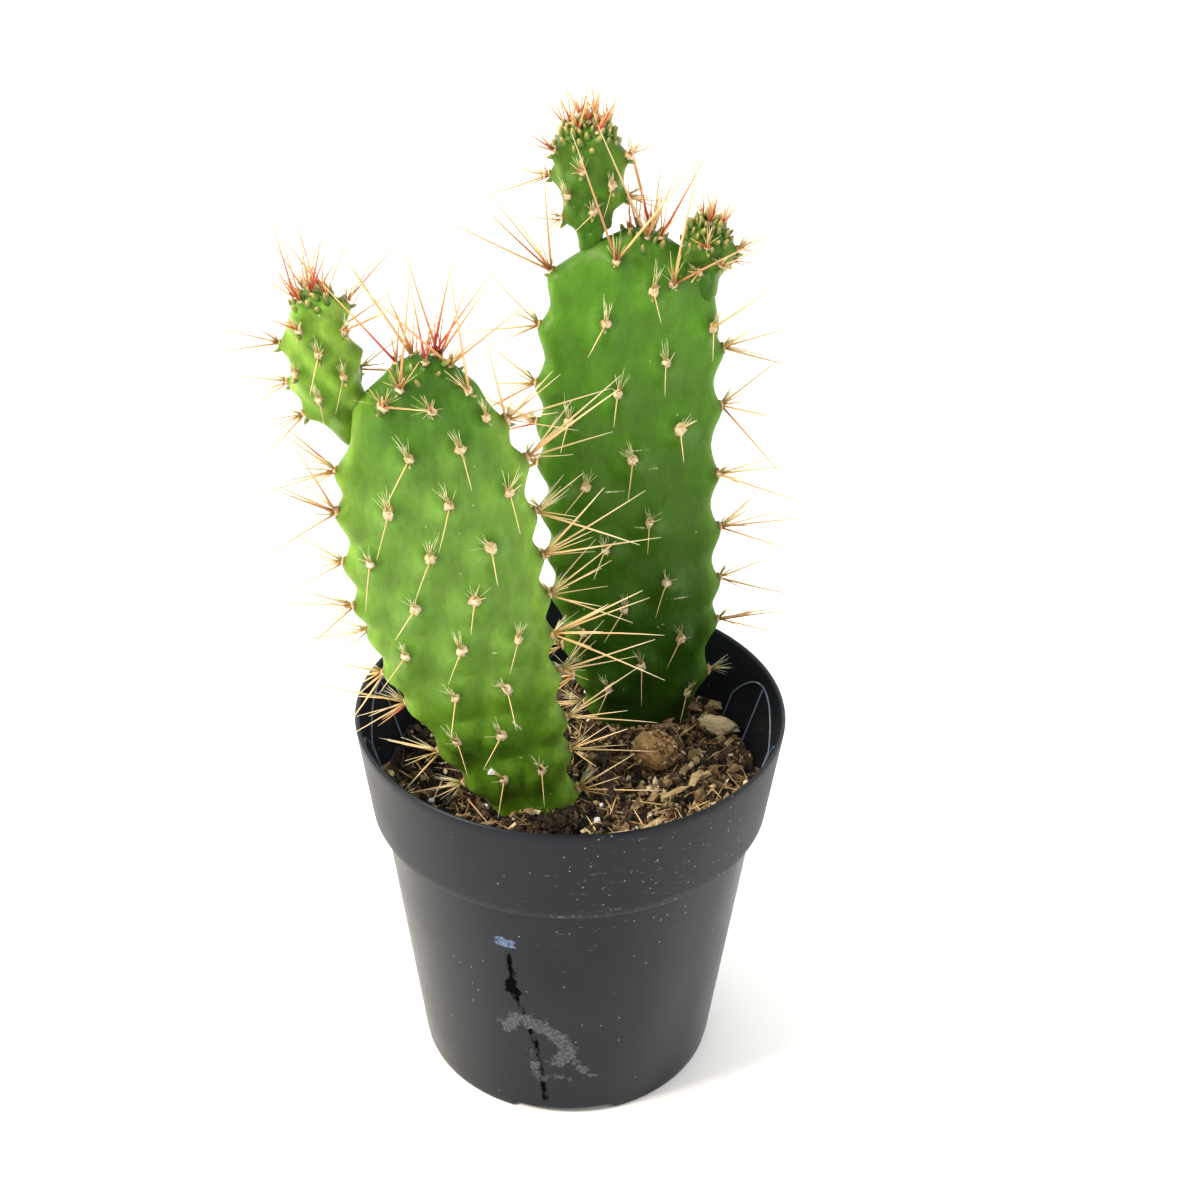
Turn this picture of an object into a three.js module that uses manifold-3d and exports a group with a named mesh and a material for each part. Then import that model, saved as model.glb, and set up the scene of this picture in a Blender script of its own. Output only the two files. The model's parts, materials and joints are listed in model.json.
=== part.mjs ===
// Potted opuntia: two flat pads with young shoots, in soil, in a black nursery pot.
// Millimetres, +Z up. The origin is the middle of the pot's underside, and -Y is the side that is looked at.
import * as THREE from "three";
import { ConvexGeometry } from "three/addons/geometries/ConvexGeometry.js";
import { mergeVertices } from "three/addons/utils/BufferGeometryUtils.js";
import Module from "manifold-3d";

const wasm = await Module();
wasm.setup();

const GAP = 0.3;

// Pot: a tapered cup with a stepped collar, walls of one thickness.
const POT_HEIGHT = 100.5;
const WALL = 1.3;
const FLOOR = 1.5;
const FOOT_RADIUS = 38.3;
const BODY_TOP_RADIUS = 46.9;
const COLLAR_FROM = 74.3;
const COLLAR_RADIUS = 49.4;
const RIM_RADIUS = 52.5;
const POT_SIDES = 56;

// Stacking lugs: four flats pressed in below the rim, hollow behind and open downwards.
const LUG_ANGLES = [16.5, -16.5, 163.5, 196.5];
const LUG_HALF_WIDTH = 13.5;
const LUG_LOW = [44.6, 66];
const LUG_DEEPEST = [43.8, 74.2];
const LUG_HIGH = [50.9, 97];

// Drainage: slots under the foot and round holes in the floor.
const SLOT_ANGLES = [0, 90, 180, 270];
const SLOT_WIDTH = 26;
const SLOT_HEIGHT = 2.2;
const SLOT_FROM = 33.5;
const HOLE_RADIUS = 3;
const HOLE_CIRCLE = 21;

// Soil: filled to about 20 mm below the rim.
const SOIL_LEVEL = 80.5;
const SOIL_REACH = 54;
const SOIL_RINGS = 9;
const SOIL_SIDES = 28;
const HOLLOW = [-38, 2, 9, 5];
const HEAPS = [
  [24, 3, 15, 1.8],
  [-2, -21, 9, 2.2],
  [20, 32, 12, 1.5],
];

// Pads. A station is [height, middle of the width, half width, half thickness].
const PAD_FRONT = {
  name: "pad_front",
  color: 0x6c9f3f,
  at: [0, -15, 0],
  lean: 0,
  turn: 5,
  stations: [
    [54, -8, 5, 3.6],
    [68, -8, 7.5, 4.6],
    [82, -9.6, 9.3, 5.2],
    [101, -16.8, 14.2, 5.6],
    [130, -25.2, 18.9, 5.8],
    [157, -29.2, 19.3, 5.8],
    [172, -30, 18, 5.5],
    [182, -31.4, 15, 5.2],
    [197, -31, 13.6, 4.8],
  ],
  capLength: 17,
  around: 20,
  rings: 38,
  areoles: { from: 86, to: 192, rise: 1.82, angle: 54.61, phase: 130.6, apart: 6.5 },
  margins: { left: [89.2, 10.2], right: [84.9, 10.9], to: 188 },
  bump: [1.8, 4.2],
  tip: { count: 7, spread: [6.5, 2.6], at: -31 },
  spine: { edge: [13, 27], face: [4, 9.5], tip: [9, 27] },
  seed: 11,
};
const PAD_BACK = {
  name: "pad_back",
  color: 0x3f7a26,
  at: [0, 23, 0],
  lean: 0,
  turn: 6,
  stations: [
    [54, 20, 5, 3.6],
    [66, 19.5, 9, 4.6],
    [82, 18.6, 11.8, 5.2],
    [111, 16.2, 18.2, 5.8],
    [150, 13.2, 19.5, 6],
    [182, 12.4, 19.4, 5.8],
    [200, 12.9, 18.2, 5.3],
    [212, 12.2, 17.4, 4.8],
  ],
  capLength: 15,
  around: 20,
  rings: 38,
  areoles: { from: 86.8, to: 208, rise: 2.411, angle: -104.94, phase: 268.5, apart: 6.5 },
  margins: { left: [94, 12], right: [94.7, 14.5], to: 207 },
  bump: [1.6, 4.2],
  tip: { count: 6, spread: [3.6, 2.8], at: 15 },
  spine: { edge: [13, 26], face: [4, 9.5], tip: [8, 30] },
  seed: 47,
};
const YOUNG_FRONT = {
  name: "young_pad_front",
  parent: "pad_front",
  color: 0x62a03a,
  at: [-46.6, -15, 179.5],
  lean: -12,
  turn: 0,
  stations: [
    [-4, 0.4, 2.8, 2.6],
    [2, -1.4, 3.6, 3.4],
    [8, -2.4, 5.7, 4.6],
    [14, -2.4, 6.7, 5],
    [21, -2, 6, 4.8],
    [31.5, -0.6, 5.5, 4.4],
  ],
  capLength: 6.5,
  around: 12,
  rings: 13,
  areoles: { from: 5, to: 28, rise: 1.15, angle: 137.5, phase: 20, apart: 3.4 },
  bump: [1.4, 2.5],
  tip: { count: 8, spread: [4.2, 2.6], at: -0.6 },
  spine: { edge: [8, 21], face: [3.5, 9], tip: [6, 19] },
  seed: 83,
};
const YOUNG_BACK = {
  name: "young_pad_back",
  parent: "pad_back",
  color: 0x4f8f33,
  at: [2.8, 23, 209.8],
  lean: -1,
  turn: 0,
  stations: [
    [-4, 0, 2.8, 2.8],
    [2.5, -0.2, 2.9, 3],
    [7, 0, 5, 4.2],
    [12, 0.2, 6.5, 5],
    [17, -0.1, 7.2, 5.2],
    [26.5, -0.5, 6.6, 4.8],
  ],
  capLength: 8,
  around: 12,
  rings: 13,
  areoles: { from: 5, to: 24, rise: 1.1, angle: -137.5, phase: 60, apart: 3.4 },
  bump: [1.4, 2.5],
  tip: { count: 11, spread: [5, 3.4], at: -0.5 },
  spine: { edge: [5, 20], face: [3, 7], tip: [3, 9] },
  seed: 131,
};
const BUD_BACK = {
  name: "bud_back",
  parent: "pad_back",
  color: 0x4f8f33,
  at: [29, 23, 199.8],
  lean: 2,
  turn: 0,
  stations: [
    [-4, 0, 2.8, 2.8],
    [1.5, 0, 3, 3],
    [4.7, 0, 4.4, 4.2],
    [7.5, -0.2, 5.2, 4.8],
    [15, -0.5, 4.8, 4.4],
  ],
  capLength: 6,
  around: 12,
  rings: 12,
  areoles: { from: 4, to: 12.5, rise: 0.7, angle: 137.5, phase: 200, apart: 2.8 },
  bump: [1.1, 1.9],
  tip: { count: 9, spread: [3.8, 3.4], at: -0.5 },
  spine: { edge: [3, 10], face: [2.5, 5], tip: [3, 8] },
  seed: 173,
};
const PADS = [PAD_FRONT, PAD_BACK, YOUNG_FRONT, YOUNG_BACK, BUD_BACK];
const SECTION_POWER = 2.3;
const CAP_POWER = 0.58;
const EDGE_MORE = 0.7;
const BUMP_POINTED = 1.5;

// Areoles are low four-sided knobs, spines are three-sided needles.
const KNOB = { radius: 1.9, height: 5.2, sunk: 1.1 };
const SPINE_RADIUS = 0.36;
const SPINE_CLEAR = 0.7;
const BUD_SPACE = 7;

// Pieces that lie on the soil.
const LUMP = {
  name: "soil_lump",
  color: 0xb08a58,
  at: [21, 1.5, 85.4],
  size: [5.6, 5.2, 4.6],
  turn: 0,
  detail: 2,
  seed: 5,
};
const CHIP = {
  name: "bark_chip",
  color: 0xd8c6a4,
  at: [38.2, 17, 83],
  size: [5, 2.6, 2],
  turn: -20,
  detail: 1,
  seed: 9,
};

// A repeatable draw between 0 and 1 for a whole number.
function draw(n) {
  const s = Math.sin(n * 12.9898) * 43758.5453;
  return s - Math.floor(s);
}

// A closed geometry as a solid that faces outwards.
function solidOf(geometry) {
  const bare = new THREE.BufferGeometry();
  bare.setAttribute("position", geometry.getAttribute("position"));
  if (geometry.index) bare.setIndex(geometry.index);
  const merged = mergeVertices(bare, 1e-4);
  const source = merged.index.array;
  const faces = [];
  for (let i = 0; i < source.length; i += 3) {
    const [a, b, c] = [source[i], source[i + 1], source[i + 2]];
    if (a !== b && b !== c && c !== a) faces.push(a, b, c);
  }
  const build = (list) =>
    new wasm.Manifold(
      new wasm.Mesh({
        numProp: 3,
        vertProperties: Float32Array.from(merged.attributes.position.array),
        triVerts: Uint32Array.from(list),
      }),
    );
  const solid = build(faces);
  return solid.volume() < 0 ? build(faces.reverse()) : solid;
}

// A solid back as a geometry.
function geometryOf(solid) {
  const mesh = solid.getMesh();
  const positions = new Float32Array(mesh.numVert * 3);
  for (let i = 0; i < mesh.numVert; i++) {
    positions.set(mesh.vertProperties.subarray(i * mesh.numProp, i * mesh.numProp + 3), i * 3);
  }
  const geometry = new THREE.BufferGeometry();
  geometry.setAttribute("position", new THREE.BufferAttribute(positions, 3));
  geometry.setIndex(new THREE.BufferAttribute(Uint32Array.from(mesh.triVerts), 1));
  geometry.computeVertexNormals();
  return geometry;
}

// A profile of [radius, height] points that starts and ends on the axis, turned round Z.
function turned(profile) {
  const points = profile.map(([r, z]) => new THREE.Vector2(r, z));
  return solidOf(new THREE.LatheGeometry(points, POT_SIDES).rotateX(Math.PI / 2));
}

// A [radius, height] outline as a straight bar that crosses the radius at an angle.
function bar(outline, halfWidth, degrees) {
  const shape = new THREE.Shape(outline.map(([r, z]) => new THREE.Vector2(r, z)));
  const geometry = new THREE.ExtrudeGeometry(shape, { depth: 2 * halfWidth, bevelEnabled: false });
  geometry.translate(0, 0, -halfWidth);
  geometry.rotateX(Math.PI / 2);
  geometry.rotateZ(THREE.MathUtils.degToRad(degrees));
  return solidOf(geometry);
}

// Outer radius of the pot's body and of its collar at a height.
const bodyRadius = (z) => THREE.MathUtils.mapLinear(z, 0, COLLAR_FROM, FOOT_RADIUS, BODY_TOP_RADIUS);
const collarRadius = (z) => THREE.MathUtils.mapLinear(z, COLLAR_FROM, POT_HEIGHT, COLLAR_RADIUS, RIM_RADIUS);

// The room inside the pot, smaller by a gap all round.
function potRoom(gap) {
  const inset = WALL + gap;
  const step = COLLAR_FROM + WALL + gap;
  let room = turned([
    [0, FLOOR + gap],
    [bodyRadius(FLOOR) - inset, FLOOR + gap],
    [bodyRadius(step) - inset, step],
    [collarRadius(step) - inset, step + 0.8],
    [collarRadius(POT_HEIGHT) - inset, POT_HEIGHT - 0.4],
    [collarRadius(POT_HEIGHT) - inset + 0.4, POT_HEIGHT + 1],
    [0, POT_HEIGHT + 1],
  ]);
  for (const degrees of LUG_ANGLES) {
    const flat = [LUG_LOW, LUG_DEEPEST, LUG_HIGH, [60, LUG_HIGH[1]], [60, LUG_LOW[1]]];
    const shifted = flat.map(([r, z]) => [r - gap, z]);
    room = room.subtract(bar(shifted, LUG_HALF_WIDTH + gap, degrees));
  }
  return room;
}

function makePot() {
  let pot = turned([
    [0, 0],
    [FOOT_RADIUS - 0.8, 0],
    [bodyRadius(0.9), 0.9],
    [BODY_TOP_RADIUS, COLLAR_FROM],
    [COLLAR_RADIUS - 0.5, COLLAR_FROM],
    [COLLAR_RADIUS, COLLAR_FROM + 0.6],
    [RIM_RADIUS, POT_HEIGHT - 0.5],
    [RIM_RADIUS - 0.4, POT_HEIGHT],
    [0, POT_HEIGHT],
  ]).subtract(potRoom(0));
  const behind = turned([
    [0, 40],
    [collarRadius(40) - WALL, 40],
    [collarRadius(94) - WALL, 94],
    [0, 94],
  ]);
  for (const degrees of LUG_ANGLES) {
    const scoop = [LUG_LOW, LUG_DEEPEST, [60, LUG_DEEPEST[1]], [60, LUG_LOW[1]]];
    const pocket = [LUG_DEEPEST, LUG_HIGH, [60, LUG_HIGH[1]], [60, LUG_DEEPEST[1]]];
    const outwards = (outline) => outline.map(([r, z]) => [r + WALL, z]);
    pot = pot.subtract(bar(outwards(scoop), LUG_HALF_WIDTH + 1, degrees));
    pot = pot.subtract(bar(outwards(pocket), LUG_HALF_WIDTH - WALL, degrees).intersect(behind));
  }
  for (const degrees of SLOT_ANGLES) {
    const slot = [[SLOT_FROM, -1], [60, -1], [60, SLOT_HEIGHT], [SLOT_FROM, SLOT_HEIGHT]];
    pot = pot.subtract(bar(slot, SLOT_WIDTH / 2, degrees));
    const angle = THREE.MathUtils.degToRad(degrees + 45);
    const hole = new THREE.CylinderGeometry(HOLE_RADIUS, HOLE_RADIUS, 4, 20).rotateX(Math.PI / 2);
    hole.translate(HOLE_CIRCLE * Math.cos(angle), HOLE_CIRCLE * Math.sin(angle), 1);
    pot = pot.subtract(solidOf(hole));
  }
  return pot;
}

// Height of the soil's surface at a place.
function soilHeight(x, y) {
  let z = SOIL_LEVEL;
  z -= HOLLOW[3] * Math.exp(-((x - HOLLOW[0]) ** 2 + (y - HOLLOW[1]) ** 2) / HOLLOW[2] ** 2);
  for (const [hx, hy, reach, rise] of HEAPS) {
    z += rise * Math.exp(-((x - hx) ** 2 + (y - hy) ** 2) / reach ** 2);
  }
  z += 0.5 * Math.sin(0.61 * x + 1.3) * Math.sin(0.53 * y + 0.4);
  z += 0.4 * Math.sin(1.03 * x - 0.71 * y + 2.1);
  return z;
}

// Values of a list of stations at a height, by a smooth curve through them.
function along(stations, h) {
  const last = stations.length - 1;
  let i = 0;
  while (i < last - 1 && h > stations[i + 1][0]) i++;
  const slope = (k, c) => {
    const a = stations[Math.max(k - 1, 0)];
    const b = stations[Math.min(k + 1, last)];
    return (b[c] - a[c]) / (b[0] - a[0]);
  };
  const [p, q] = [stations[i], stations[i + 1]];
  const span = q[0] - p[0];
  const t = THREE.MathUtils.clamp((h - p[0]) / span, 0, 1);
  return [1, 2, 3].map((c) => {
    const rise = (2 * t ** 3 - 3 * t ** 2 + 1) * p[c] + (3 * t ** 2 - 2 * t ** 3) * q[c];
    const ease = (t ** 3 - 2 * t ** 2 + t) * slope(i, c) + (t ** 3 - t ** 2) * slope(i + 1, c);
    return rise + span * ease;
  });
}

// Points of a flat oval section at equal steps of its girth. Turn 0 is the middle of the front.
function girthTable(halfWidth, halfThick) {
  const steps = 128;
  const power = 2 / SECTION_POWER;
  const table = [];
  let length = 0;
  for (let i = 0; i <= steps; i++) {
    const a = -Math.PI + (2 * Math.PI * i) / steps;
    const x = halfWidth * Math.sign(Math.sin(a)) * Math.abs(Math.sin(a)) ** power;
    const y = -halfThick * Math.sign(Math.cos(a)) * Math.abs(Math.cos(a)) ** power;
    if (i > 0) length += Math.hypot(x - table[i - 1][0], y - table[i - 1][1]);
    table.push([x, y, length]);
  }
  return table;
}

function onGirth(table, turn) {
  const wanted = (turn - Math.floor(turn + 0.5) + 0.5) * table[table.length - 1][2];
  let i = 1;
  while (i < table.length - 1 && table[i][2] < wanted) i++;
  const [a, b] = [table[i - 1], table[i]];
  const t = (wanted - a[2]) / (b[2] - a[2]);
  return [a[0] + t * (b[0] - a[0]), a[1] + t * (b[1] - a[1])];
}

// A pad's own surface without tubercles, at a turn and a height.
function plainPoint(pad, turn, h) {
  const bottom = pad.stations[0][0];
  const top = pad.stations[pad.stations.length - 1][0];
  const [middle, halfWidth, halfThick] = along(pad.stations, h);
  const over = Math.max(0, (h - top + pad.capLength) / pad.capLength);
  const under = Math.max(0, 1 - (h - bottom) / 3);
  const close = Math.max(0, 1 - over ** 2) ** CAP_POWER * Math.max(0, 1 - under ** 2) ** 0.5;
  const [x, y] = onGirth(girthTable(halfWidth, halfThick), turn);
  return new THREE.Vector3(middle + x * close, y * close, h);
}

// The same point with the direction that leaves the surface there and the one that climbs it.
function plainFrame(pad, turn, h) {
  const top = pad.stations[pad.stations.length - 1][0];
  const point = plainPoint(pad, turn, h);
  const sideways = plainPoint(pad, turn + 0.004, h).sub(plainPoint(pad, turn - 0.004, h)).normalize();
  const upper = plainPoint(pad, turn, Math.min(h + 0.3, top - 0.02));
  const climb = upper.sub(plainPoint(pad, turn, Math.min(h, top - 0.32) - 0.3)).normalize();
  const out = new THREE.Vector3().crossVectors(sideways, climb).normalize();
  return { point, out, climb, sideways };
}

function placeOf(pad) {
  const place = new THREE.Matrix4().makeTranslation(...pad.at);
  const lean = new THREE.Matrix4().makeRotationY(THREE.MathUtils.degToRad(pad.lean));
  const turn = new THREE.Matrix4().makeRotationZ(THREE.MathUtils.degToRad(pad.turn));
  const pivot = along(pad.stations, 82)[0];
  const out = new THREE.Matrix4().makeTranslation(pivot, 0, 0);
  const back = new THREE.Matrix4().makeTranslation(-pivot, 0, 0);
  return pad.at[2] ? place.multiply(lean) : place.multiply(out).multiply(turn).multiply(back);
}

// Areoles climb the pad's faces in one spiral and its margins in two rows, and crowd at its growing tip.
function areolesOf(pad, shoots) {
  const { from, to, rise, angle, phase } = pad.areoles;
  const top = pad.stations[pad.stations.length - 1][0];
  const list = [];
  const place = (turn, h) => {
    const tipward = THREE.MathUtils.smoothstep(h, top - 22, top - 3);
    list.push({ ...plainFrame(pad, turn, h), h, size: 1, tipward });
  };
  for (let i = 0; from + i * rise < to; i++) place((phase + i * angle) / 360, from + i * rise);
  for (const side of pad.margins ? ["left", "right"] : []) {
    const [first, step] = pad.margins[side];
    for (let i = 0; first + i * step < pad.margins.to; i++) {
      const n = pad.seed + first + 3 * i;
      const turn = (side === "left" ? -1 : 1) * (0.25 + 0.03 * (draw(n + 1) - 0.5));
      place(turn, first + step * (i + 0.35 * (draw(n) - 0.5)));
    }
  }
  for (let i = 0; i < pad.tip.count; i++) {
    const reach = Math.sqrt((i + 0.5) / pad.tip.count);
    const x = reach * Math.cos(i * 2.4) * pad.tip.spread[0];
    const y = reach * Math.sin(i * 2.4) * pad.tip.spread[1];
    const offset = pad.tip.at - along(pad.stations, top)[0];
    const out = new THREE.Vector3(x / 9, y / 7, 1).normalize();
    const point = new THREE.Vector3(pad.tip.at + x, y, tipHeight(pad, offset + x, y));
    const climb = new THREE.Vector3(0, 0, 1);
    const sideways = new THREE.Vector3(1, 0, 0);
    list.push({ point, out, climb, sideways, h: point.z, size: 0.7, tipward: 1.5 });
  }
  const far = (a) => shoots.every((s) => a.point.distanceTo(s) > BUD_SPACE);
  const apart = [];
  for (const a of list.reverse()) {
    const room = a.tipward > 1 ? 1.6 : pad.areoles.apart;
    if (far(a) && apart.every((b) => b.point.distanceTo(a.point) > room)) apart.push(a);
  }
  return apart;
}

// Height of the rounded top of a pad at an offset from its middle line.
function tipHeight(pad, x, y) {
  const top = pad.stations[pad.stations.length - 1][0];
  const [, halfWidth, halfThick] = along(pad.stations, top);
  const sum = Math.abs(x / halfWidth) ** SECTION_POWER + Math.abs(y / halfThick) ** SECTION_POWER;
  const reach = sum ** (1 / SECTION_POWER);
  const over = Math.sqrt(Math.max(0, 1 - Math.min(1, reach) ** (1 / CAP_POWER)));
  return top - pad.capLength * (1 - over);
}

// How far the tubercles raise the surface at a point.
function raisedBy(pad, areoles, point) {
  let rise = 0;
  for (const a of areoles) {
    const reach = pad.bump[1] * a.size;
    const low = point.distanceTo(a.point.clone().addScaledVector(a.climb, -0.25 * reach));
    const high = a.size * pad.bump[0] * (1 + EDGE_MORE * Math.abs(a.out.x) ** 3);
    if (low < 3 * reach) rise = Math.max(rise, high * Math.exp(-((low / reach) ** BUMP_POINTED)));
  }
  return rise;
}

// The pad's body: a ball whose points are moved onto the pad, with tubercles raised by formula.
function padBody(pad, areoles, grow) {
  const bottom = pad.stations[0][0];
  const top = pad.stations[pad.stations.length - 1][0];
  const ball = new THREE.SphereGeometry(1, pad.around, pad.rings);
  const { position, uv } = ball.attributes;
  const capShare = Math.min(0.4, (1.5 * pad.capLength) / (top - bottom));
  for (let i = 0; i < position.count; i++) {
    const v = uv.getY(i);
    const knee = top - pad.capLength;
    let h = THREE.MathUtils.mapLinear(v, 0, 1 - capShare, bottom, knee);
    if (v > 1 - capShare) h = knee + pad.capLength * Math.sin((Math.PI / 2) * (1 - (1 - v) / capShare));
    const frame = plainFrame(pad, uv.getX(i), THREE.MathUtils.clamp(h, bottom, top));
    const pole = v < 1e-6 || v > 1 - 1e-6;
    const out = pole ? new THREE.Vector3(0, 0, v < 0.5 ? -1 : 1) : frame.out;
    const rise = pole && v < 0.5 ? 0 : raisedBy(pad, areoles, frame.point);
    frame.point.addScaledVector(out, rise + grow);
    position.setXYZ(i, frame.point.x, frame.point.y, frame.point.z);
  }
  return solidOf(ball.applyMatrix4(placeOf(pad)));
}

// True where a point is within a margin of a pad's surface.
function nearPad(pad, point, margin) {
  const p = point.clone().applyMatrix4(placeOf(pad).invert());
  const top = pad.stations[pad.stations.length - 1][0];
  if (p.z > top + margin || p.z < pad.stations[0][0]) return false;
  const [middle, halfWidth, halfThick] = along(pad.stations, Math.min(p.z, top));
  const [u, v] = [(p.x - middle) / (halfWidth + margin), p.y / (halfThick + margin)];
  return u * u + v * v < 1;
}

// True where a point is too close to the pot, the soil or what lies on it.
function nearGround(point) {
  const r = Math.hypot(point.x, point.y);
  if (r < RIM_RADIUS && point.z < soilHeight(point.x, point.y) + 1.2) return true;
  const wall = point.z < COLLAR_FROM + 2 ? BODY_TOP_RADIUS : collarRadius(point.z);
  if (point.z < POT_HEIGHT + 1.2 && r > wall - WALL - 3.5 && r < wall + 1.5) return true;
  return [LUMP, CHIP].some((piece) => {
    const [dx, dy, dz] = piece.at.map((c, k) => (point.getComponent(k) - c) / (piece.size[k] + 1.4));
    return dx * dx + dy * dy + dz * dz < 1;
  });
}

// Least distance between two needles, each a line from root to tip.
function lineDistance(a, b) {
  let least = Infinity;
  const [p, q] = [new THREE.Vector3(), new THREE.Vector3()];
  const line = new THREE.Line3(b.root, b.tip);
  for (let i = 0; i <= 24; i++) {
    p.lerpVectors(a.root, a.tip, i / 24);
    line.closestPointToPoint(p, true, q);
    least = Math.min(least, p.distanceTo(q));
  }
  return least;
}

const needles = [];

// Which way the spines of an areole point, and how long they are.
function spinesOf(pad, areole, n) {
  const edge = THREE.MathUtils.smoothstep(Math.abs(areole.out.x), 0.45, 0.85);
  const kind = areole.tipward > 0.6 ? "tip" : edge > 0.5 ? "edge" : "face";
  const count = kind === "face" ? 1 : kind === "edge" && draw(n) < 0.3 ? 3 : 2;
  const [shortest, longest] = pad.spine[kind];
  const spines = [];
  for (let k = 0; k < count; k++) {
    const m = n + 7.3 * (k + 1);
    const fan = kind === "edge" ? (k - (count - 1) / 2) * 0.75 : 0;
    const away = { tip: 1, edge: 1, face: 0.5 }[kind];
    const climb = { tip: 0.3, edge: 0.1 + fan, face: -0.8 }[kind] + 0.5 * (draw(m + 1) - 0.5);
    const across = { tip: 1.7, edge: 0.9, face: 0.9 }[kind] * (draw(m + 2) - 0.5);
    const drift = kind === "face" ? 0.35 * Math.sign(areole.out.y) : 0;
    const way = new THREE.Vector3().addScaledVector(areole.out, away);
    way.addScaledVector(areole.climb, climb).addScaledVector(areole.sideways, across + drift);
    const share = k === 0 ? 0.45 + 0.55 * draw(m + 3) : draw(m + 3) ** 1.5;
    spines.push({ way: way.normalize(), length: shortest + (longest - shortest) * share, m });
  }
  return spines;
}

// A spine is turned aside, and in the end shortened, until it is clear of every other piece.
function bentClear(pad, root, spine, out) {
  for (let k = 0; k < 16; k++) {
    const aside = (k % 2 ? 1 : -1) * Math.ceil(k / 2) * 0.16;
    const way = spine.way.clone().applyAxisAngle(out, aside).addScaledVector(out, 0.05 * k).normalize();
    const length = spine.length * (k < 9 ? 1 : 0.55);
    const tip = root.clone().addScaledVector(way, length);
    const needle = { pad: pad.name, root, tip, way, length };
    const inTheWay = needles.some((o) => o.pad !== pad.name && lineDistance(needle, o) < SPINE_CLEAR);
    if (inTheWay) continue;
    const steps = Math.ceil(length / 1.2);
    let blocked = false;
    for (let i = 1; i <= steps && !blocked; i++) {
      const p = root.clone().lerp(tip, i / steps);
      blocked = nearGround(p) || PADS.some((o) => o !== pad && nearPad(o, p, 3.4));
    }
    if (!blocked) return needle;
  }
  return null;
}

function needleSolid(needle) {
  const cone = new THREE.ConeGeometry(SPINE_RADIUS, needle.length + 1.2, 3);
  cone.translate(0, (needle.length + 1.2) / 2 - 1.2, 0);
  const turn = new THREE.Quaternion().setFromUnitVectors(new THREE.Vector3(0, 1, 0), needle.way);
  cone.applyQuaternion(turn).translate(...needle.root);
  return solidOf(cone);
}

function knobSolid(root, out, size) {
  const knob = new THREE.ConeGeometry(KNOB.radius * size, KNOB.height * size, 4);
  knob.translate(0, -KNOB.sunk * size, 0);
  const turn = new THREE.Quaternion().setFromUnitVectors(new THREE.Vector3(0, 1, 0), out);
  return solidOf(knob.applyQuaternion(turn).translate(...root));
}

// One pad with its areoles and spines, as one body.
function makePad(pad, shoots, parent) {
  const place = placeOf(pad);
  const areoles = areolesOf(pad, shoots);
  let solid = padBody(pad, areoles, 0);
  if (parent) solid = solid.subtract(parent);
  let n = pad.seed;
  for (const areole of areoles) {
    n += 31;
    const local = areole.point.clone().addScaledVector(areole.out, raisedBy(pad, areoles, areole.point));
    const root = local.applyMatrix4(place);
    const out = areole.out.clone().transformDirection(place);
    if (PADS.some((o) => o !== pad && nearPad(o, root, 2.6))) continue;
    if (nearGround(root)) continue;
    solid = solid.add(knobSolid(root, out, areole.size));
    for (const spine of spinesOf(pad, areole, n)) {
      spine.way.transformDirection(place);
      const side = spine.way.clone().projectOnPlane(out);
      const start = root.clone().addScaledVector(out, 0.4).addScaledVector(side, 0.7 * areole.size);
      const needle = bentClear(pad, start, spine, out);
      if (!needle) continue;
      needles.push(needle);
      solid = solid.add(needleSolid(needle));
    }
  }
  return solid;
}

// A rounded pebble of uneven shape, larger by a gap where asked.
function lumpSolid(piece, gap) {
  const ball = new THREE.IcosahedronGeometry(1, piece.detail);
  const { position } = ball.attributes;
  const points = [];
  for (let i = 0; i < position.count; i++) {
    const p = new THREE.Vector3().fromBufferAttribute(position, i).normalize();
    let swell = 0;
    for (let k = 0; k < 6; k++) {
      const n = piece.seed + 3 * k;
      const way = new THREE.Vector3(draw(n) - 0.5, draw(n + 1) - 0.5, draw(n + 2) - 0.5).normalize();
      swell += 0.045 * Math.sin(4.5 * p.dot(way) + 6 * draw(n + 50));
    }
    const [x, y, z] = piece.size.map((s) => s * (1 + swell) + gap);
    points.push(p.set(p.x * x, p.y * y, p.z * z));
  }
  const lump = new ConvexGeometry(points).rotateZ(THREE.MathUtils.degToRad(piece.turn));
  return solidOf(lump.translate(...piece.at));
}

// The soil: a block with an uneven top, cut to the pot's room, with plain holes for the stems.
function makeSoil(holes) {
  const profile = [
    [0, 1],
    [SOIL_REACH, 1],
  ];
  for (let k = SOIL_RINGS; k >= 0; k--) profile.push([(SOIL_REACH * k) / SOIL_RINGS, SOIL_LEVEL]);
  const points = profile.map(([r, z]) => new THREE.Vector2(r, z));
  const block = new THREE.LatheGeometry(points, SOIL_SIDES).rotateX(Math.PI / 2);
  const { position } = block.attributes;
  for (let i = 0; i < position.count; i++) {
    if (position.getZ(i) > SOIL_LEVEL - 1) {
      position.setZ(i, soilHeight(position.getX(i), position.getY(i)));
    }
  }
  return holes.reduce((soil, hole) => soil.subtract(hole), solidOf(block).intersect(potRoom(GAP)));
}

const opuntia = new THREE.Group();
opuntia.name = "potted_opuntia";

function addNode(name, solid, color, roughness) {
  const material = new THREE.MeshStandardMaterial({ color, roughness, metalness: 0, flatShading: true });
  const mesh = new THREE.Mesh(geometryOf(solid), material);
  mesh.name = name;
  opuntia.add(mesh);
}

// Where the shoots of a pad stand on it, in its own frame.
const rootsOn = (pad) =>
  PADS.filter((shoot) => shoot.parent === pad.name).map((shoot) =>
    new THREE.Vector3(...shoot.at).applyMatrix4(placeOf(pad).invert()),
  );

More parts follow.
